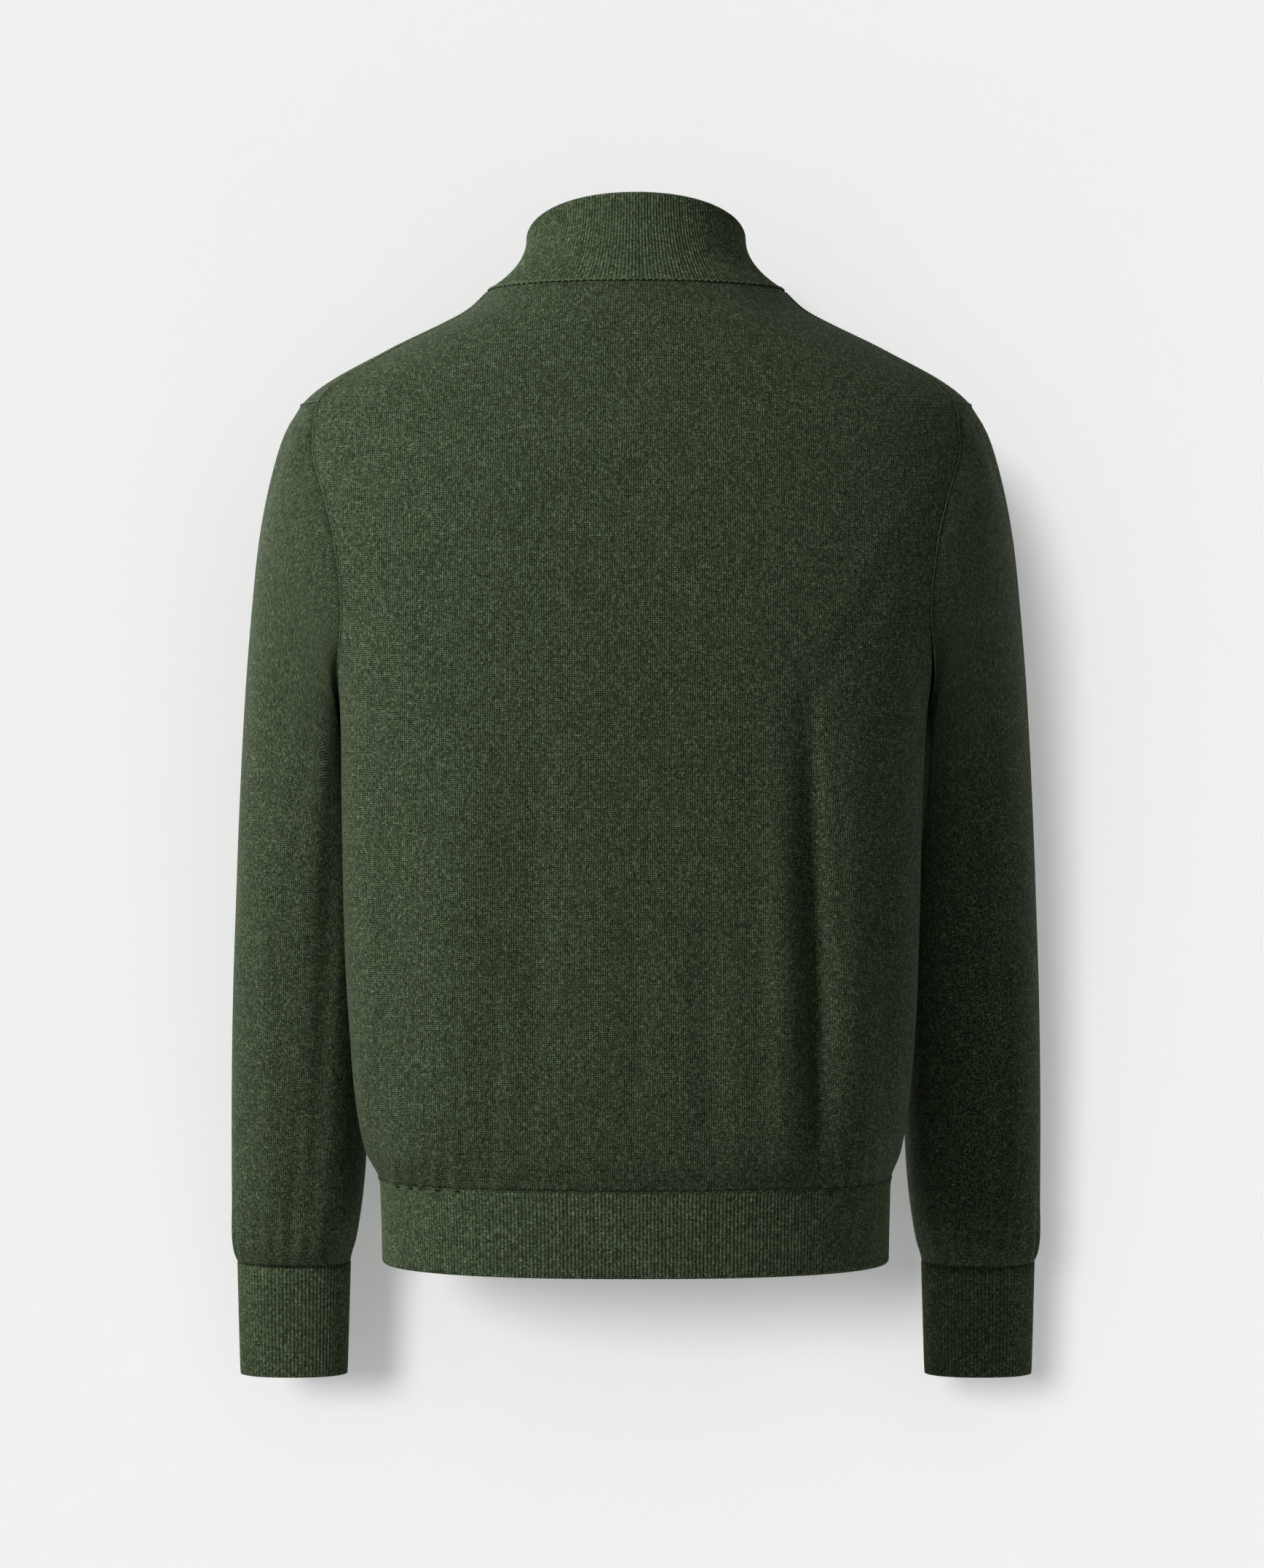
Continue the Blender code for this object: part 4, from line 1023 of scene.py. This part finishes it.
def collar_section(turn):
    angle = FRONT + COLLAR_OPENING + (2 * pi - 2 * COLLAR_OPENING) * turn
    length = (plain_collar(1, angle) - plain_collar(0, angle)).length
    half, middle = COLLAR_CLOTH / 2, COLLAR_CLOTH / 2 - COLLAR_PROUD
    foot, shoulder = 0.6 / length, 1 - half / length
    inside = [(shoulder + (foot - shoulder) * i / 9, middle + half, INSIDE_RISE) for i in range(10)]
    outside = [(foot + (shoulder - foot) * i / 22, middle - half, OUTSIDE_RISE) for i in range(23)]
    roll = []
    for i in range(1, 6):
        over = pi * i / 6
        roll.append((shoulder + sin(over) * half / length, middle - half * cos(over), RIM_RISE))
    points = []
    for rise, depth, share in inside + outside + roll:
        point = collar_point(rise, angle, depth)
        out = (collar_point(rise, angle, depth - 0.5) - point).normalized()
        if (rise, depth, share) in roll:
            centre = collar_point(shoulder, angle, middle)
            out = (point - centre).normalized()
        elif depth > middle:
            out = -out
        points.append((point, out, share))
    return points


collar = ribbed("collar_rib", COLLAR_RIBS, collar_section, closed=False)
declare_ribbed(collar, "collar", lambda turn: plain_collar(0.5, FRONT + turn), 90)

# The hem band
HEM_RIBS = 440
WAVE_LEVEL, WAVE_SHARE = -600, 0.30  # where the folds above are measured, and how much they go on


def hem_section(turn):
    angle = 2 * pi * turn
    out = normal_of(section_point, HEM_LEVEL, angle)
    out.z = 0
    wave = fold_height(section_point(WAVE_LEVEL, angle))

    def spot(level, depth):
        share = (level - HEM_LEVEL) / (HEM_SEAM_LEVEL - HEM_LEVEL)
        return section_point(level, angle) - out * (depth - WAVE_SHARE * wave * max(share, 0) ** 2)

    return band_section(spot, HEM_SEAM_LEVEL, HEM_LEVEL + BAND_CLOTH / 2, out, 14)


hem = ribbed("hem_rib", HEM_RIBS, hem_section)
declare_ribbed(hem, "hem_band", lambda turn: section_point(-640, turn), 180)

# The cuffs
CUFF_RIBS = 92
CUFF = (
    Oval(0, 280.1, -677.1, 201.2, -677.1, -67.5, 27),
    Oval(1, 278.4, -748.5, 203.4, -748.5, -69.5, 23),
    Oval(2, 277.5, -755, 204.3, -755, -69.5, 22),
)


def left_cuff_section(turn):
    def spot(row, inward):
        return oval_point(at(CUFF, row), 2 * pi * turn, -inward)

    out = spot(1, 0) - spot(1, 1)
    out.z = 0
    return band_section(spot, 0, 2 - BAND_CLOTH / 12, out.normalized(), 16)


def right_cuff_section(turn):
    return [(mirrored(point), mirrored(out), share) for point, out, share in left_cuff_section(turn)]


for name, section in (("cuff_left", left_cuff_section), ("cuff_right", right_cuff_section)):
    made = ribbed(name + "_rib", CUFF_RIBS, section)
    declare_ribbed(made, name, lambda turn: oval_point(CUFF[1], turn), 60)

# ---------------------------------------------------------------- linking seams
# Where pieces are linked, the edges roll into a ridge of small knots of the same yarn: a chain
# round the collar, a double one on the shoulders, and single ones elsewhere. The knots round the
# collar, shoulders and armholes are coloured lighter than the yarn, a painted highlight on their ridges.


def knotted(name, path, radius, pitch, sway, thread=linking):
    """A roll of knots along a path of (point, way out), swaying from side to side."""
    run = lengths([point for point, _ in path])
    steps, sides = 6 * max(2, round(run[-1] / pitch)), 7
    lines = []
    for step in range(steps + 1):
        i, share = spot_on(run, step / steps)
        (here, out), (there, next_out) = path[i], path[i + 1]
        out = out.lerp(next_out, share).normalized()
        across = (there - here).normalized().cross(out).normalized()
        phase = pi * step / 6
        fat = radius * (0.66 + 0.34 * abs(sin(phase)))
        centre = here.lerp(there, share) + across * sway * sin(phase)
        turns = [2 * pi * k / sides for k in range(sides)]
        lines.append([centre + (out * cos(turn) + across * sin(turn)) * fat for turn in turns])
    made = skin(name, lines, False, lambda i, j: (j * radius, i * pitch / 6), thread)
    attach(made, "sweater")


def mirror_path(path):
    return [(mirrored(point), mirrored(out)) for point, out in path]


SEAM_REACH = 110  # about how far the seams lie from the body's middle


def body_path(spots, lift=0.0, shift=0.0):
    """A path on the body's cloth through (level, angle) spots, lifted, and shifted round it."""
    path = []
    for level, angle in spots:
        angle += shift / SEAM_REACH
        out = normal_of(section_point, level, angle)
        path.append((body_point(level, angle) + out * lift, out))
    return path


def seam_spots(seam, start, end, count):
    levels = [start + (end - start) * i / (count - 1) for i in range(count)]
    return [(level, angle_at(level, at(seam, level).depth)) for level in levels]


neck_path = []
for i in range(181):
    angle = FRONT + COLLAR_OPENING + (2 * pi - 2 * COLLAR_OPENING) * i / 180
    point = collar_point(0.012, angle, -COLLAR_PROUD - 0.1)
    neck_path.append((point, (collar_point(0.012, angle, -3) - point).normalized()))
knotted("collar_chain", neck_path, 0.85, 2.2, 0.45)

shoulder_spots = seam_spots(SHOULDER_SEAM, SHOULDER_END_LEVEL, NECK_LEVEL - 1.5, 60)
side_spots = seam_spots(SIDE_SEAM, UNDERARM_LEVEL, HEM_SEAM_LEVEL + 1, 70)
right_side_spots = [(level, pi - angle) for level, angle in side_spots]
armhole_path = body_path(LOOP + LOOP[:1], 0.25)
for side in ("left", "right"):
    turned = (lambda path: path) if side == "left" else mirror_path
    knotted(f"shoulder_seam_back_{side}", turned(body_path(shoulder_spots, 0.1, 1.4)), 0.8, 2.4, 0.2)
    knotted(f"shoulder_seam_front_{side}", turned(body_path(shoulder_spots, 0.2, -1.4)), 0.95, 2.4, 0.2)
    side_path = body_path(side_spots if side == "left" else right_side_spots, -0.1)
    knotted(f"side_seam_{side}", side_path, 0.6, 2.4, 0.15, rib_knit)
    knotted(f"armhole_seam_{side}", turned(armhole_path), 0.62, 2.6, 0.15)
    cuff_path = []
    for i in range(121):
        turn = 2 * pi * i / 120
        point = oval_point(SLEEVE[-1], turn, -1.2)
        cuff_path.append((point, (oval_point(SLEEVE[-1], turn) - point).normalized()))
    knotted(f"cuff_seam_{side}", turned(cuff_path), 0.6, 3.2, 0.2, rib_knit)
hem_path = body_path([(HEM_SEAM_LEVEL, 2 * pi * i / 300) for i in range(301)], 0.15)
knotted("hem_seam", hem_path, 0.65, 3.9, 0.25, rib_knit)

# ---------------------------------------------------------------- zip
# A closed zip: woven tapes, metal teeth clamped on their edges, a cast slider with its tab
# hanging from it, and a clamped stop at the lower end.

CHAIN_DEPTH, CHAIN_THICK, TOOTH_PITCH = 0.9, 2.2, 1.9


def zip_point(place, along, x, depth):
    """A point of the zip at this x, this deep under the cloth's outer face."""
    if place == "collar":
        point = collar_point(along, FRONT + asin(x / RIM_HALF_WIDTH), depth)
    else:
        point = body_point(along, FRONT + asin(x / section_at(along).half_left), depth)
    point.x = x
    return point


Block = namedtuple("Block", "start end wide thick")
TOOTH = (Block(0.9, 2.7, 1.15, 2.0), Block(-0.75, 0.9, 0.8, 1.5))  # its clamp and its head


def teeth(top, bottom):
    """All the teeth of the closed chain as one mesh, between two levels."""
    stations = [("collar", 0.97 - 0.89 * i / 60) for i in range(61)]
    stations += [("front", -50.5 - 149 * i / 90) for i in range(91)]
    points, outs = [], []
    for station in stations:
        point = zip_point(*station, 0, CHAIN_DEPTH + CHAIN_THICK / 2)
        if bottom < point.z < top:
            points.append(point)
            outs.append((zip_point(*station, 0, 0) - point).normalized())
    run = lengths(points)
    count = int(run[-1] / (TOOTH_PITCH / 2))
    bm = bmesh.new()
    for tooth in range(count):
        i, share = spot_on(run, (tooth + 0.5) / count)
        down = (points[i + 1] - points[i]).normalized()
        side = 1 if tooth % 2 else -1
        turned = Matrix((Vector((side, 0, 0)), down * side, outs[i])).transposed().to_4x4()
        place = Matrix.Translation(points[i].lerp(points[i + 1], share)) @ turned
        for start, end, wide, thick in TOOTH:
            size = Matrix.Diagonal((end - start, wide, thick, 1))
            block = place @ Matrix.Translation(((start + end) / 2, 0, 0)) @ size
            bmesh.ops.create_cube(bm, size=1, matrix=block)
    bmesh.ops.bevel(bm, geom=bm.edges[:], offset=0.16, segments=1, affect="EDGES")
    return finish("zip_teeth", bm, smooth=False)


metal, tree = new_material("dark nickel zip metal")
wear = node(tree, "ShaderNodeTexNoise", {"Scale": 900.0, "Detail": 3.0})
rough = node(tree, "ShaderNodeMapRange", {"Value": wear.outputs["Fac"], "To Min": 0.22, "To Max": 0.42})
look = {"Base Color": linear("6b6a66"), "Metallic": 1.0, "Roughness": rough.outputs[0]}
shader = node(tree, "ShaderNodeBsdfPrincipled", look)
node(tree, "ShaderNodeOutputMaterial", {"Surface": shader.outputs[0]})

woven, tree = new_material("woven polyester tape")
place = node(tree, "ShaderNodeTexCoord").outputs["Object"]
bands = {"Vector": place, "Scale": 320.0, "Distortion": 0.6, "Detail": 1.0}
weave = node(tree, "ShaderNodeTexWave", bands, bands_direction="Z")
bump = node(tree, "ShaderNodeBump", {"Height": weave.outputs["Fac"], "Distance": 0.0002, "Strength": 0.5})
look = {"Base Color": linear("2b3324"), "Roughness": 0.8, "Normal": bump.outputs[0]}
shader = node(tree, "ShaderNodeBsdfPrincipled", look)
node(tree, "ShaderNodeOutputMaterial", {"Surface": shader.outputs[0]})

chain_low, chain_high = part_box("zip_chain")
made = teeth(chain_high[2] * 1000, chain_low[2] * 1000)
made.data.materials.append(metal)
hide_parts("zip_chain")
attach(made, "sweater")
for name in ("zip_slider", "zip_pull_tab", "zip_bottom_stop", "zip_tape_left", "zip_tape_right"):
    piece = frame["nodes"][name]
    piece.data.materials.clear()
    piece.data.materials.append(woven if "tape" in name else metal)
    if "tape" not in name:
        bevel = piece.modifiers.new("worn edges", "BEVEL")
        bevel.width, bevel.segments, bevel.limit_method = 0.00022, 3, "ANGLE"

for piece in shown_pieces():
    garment_only.objects.link(piece)
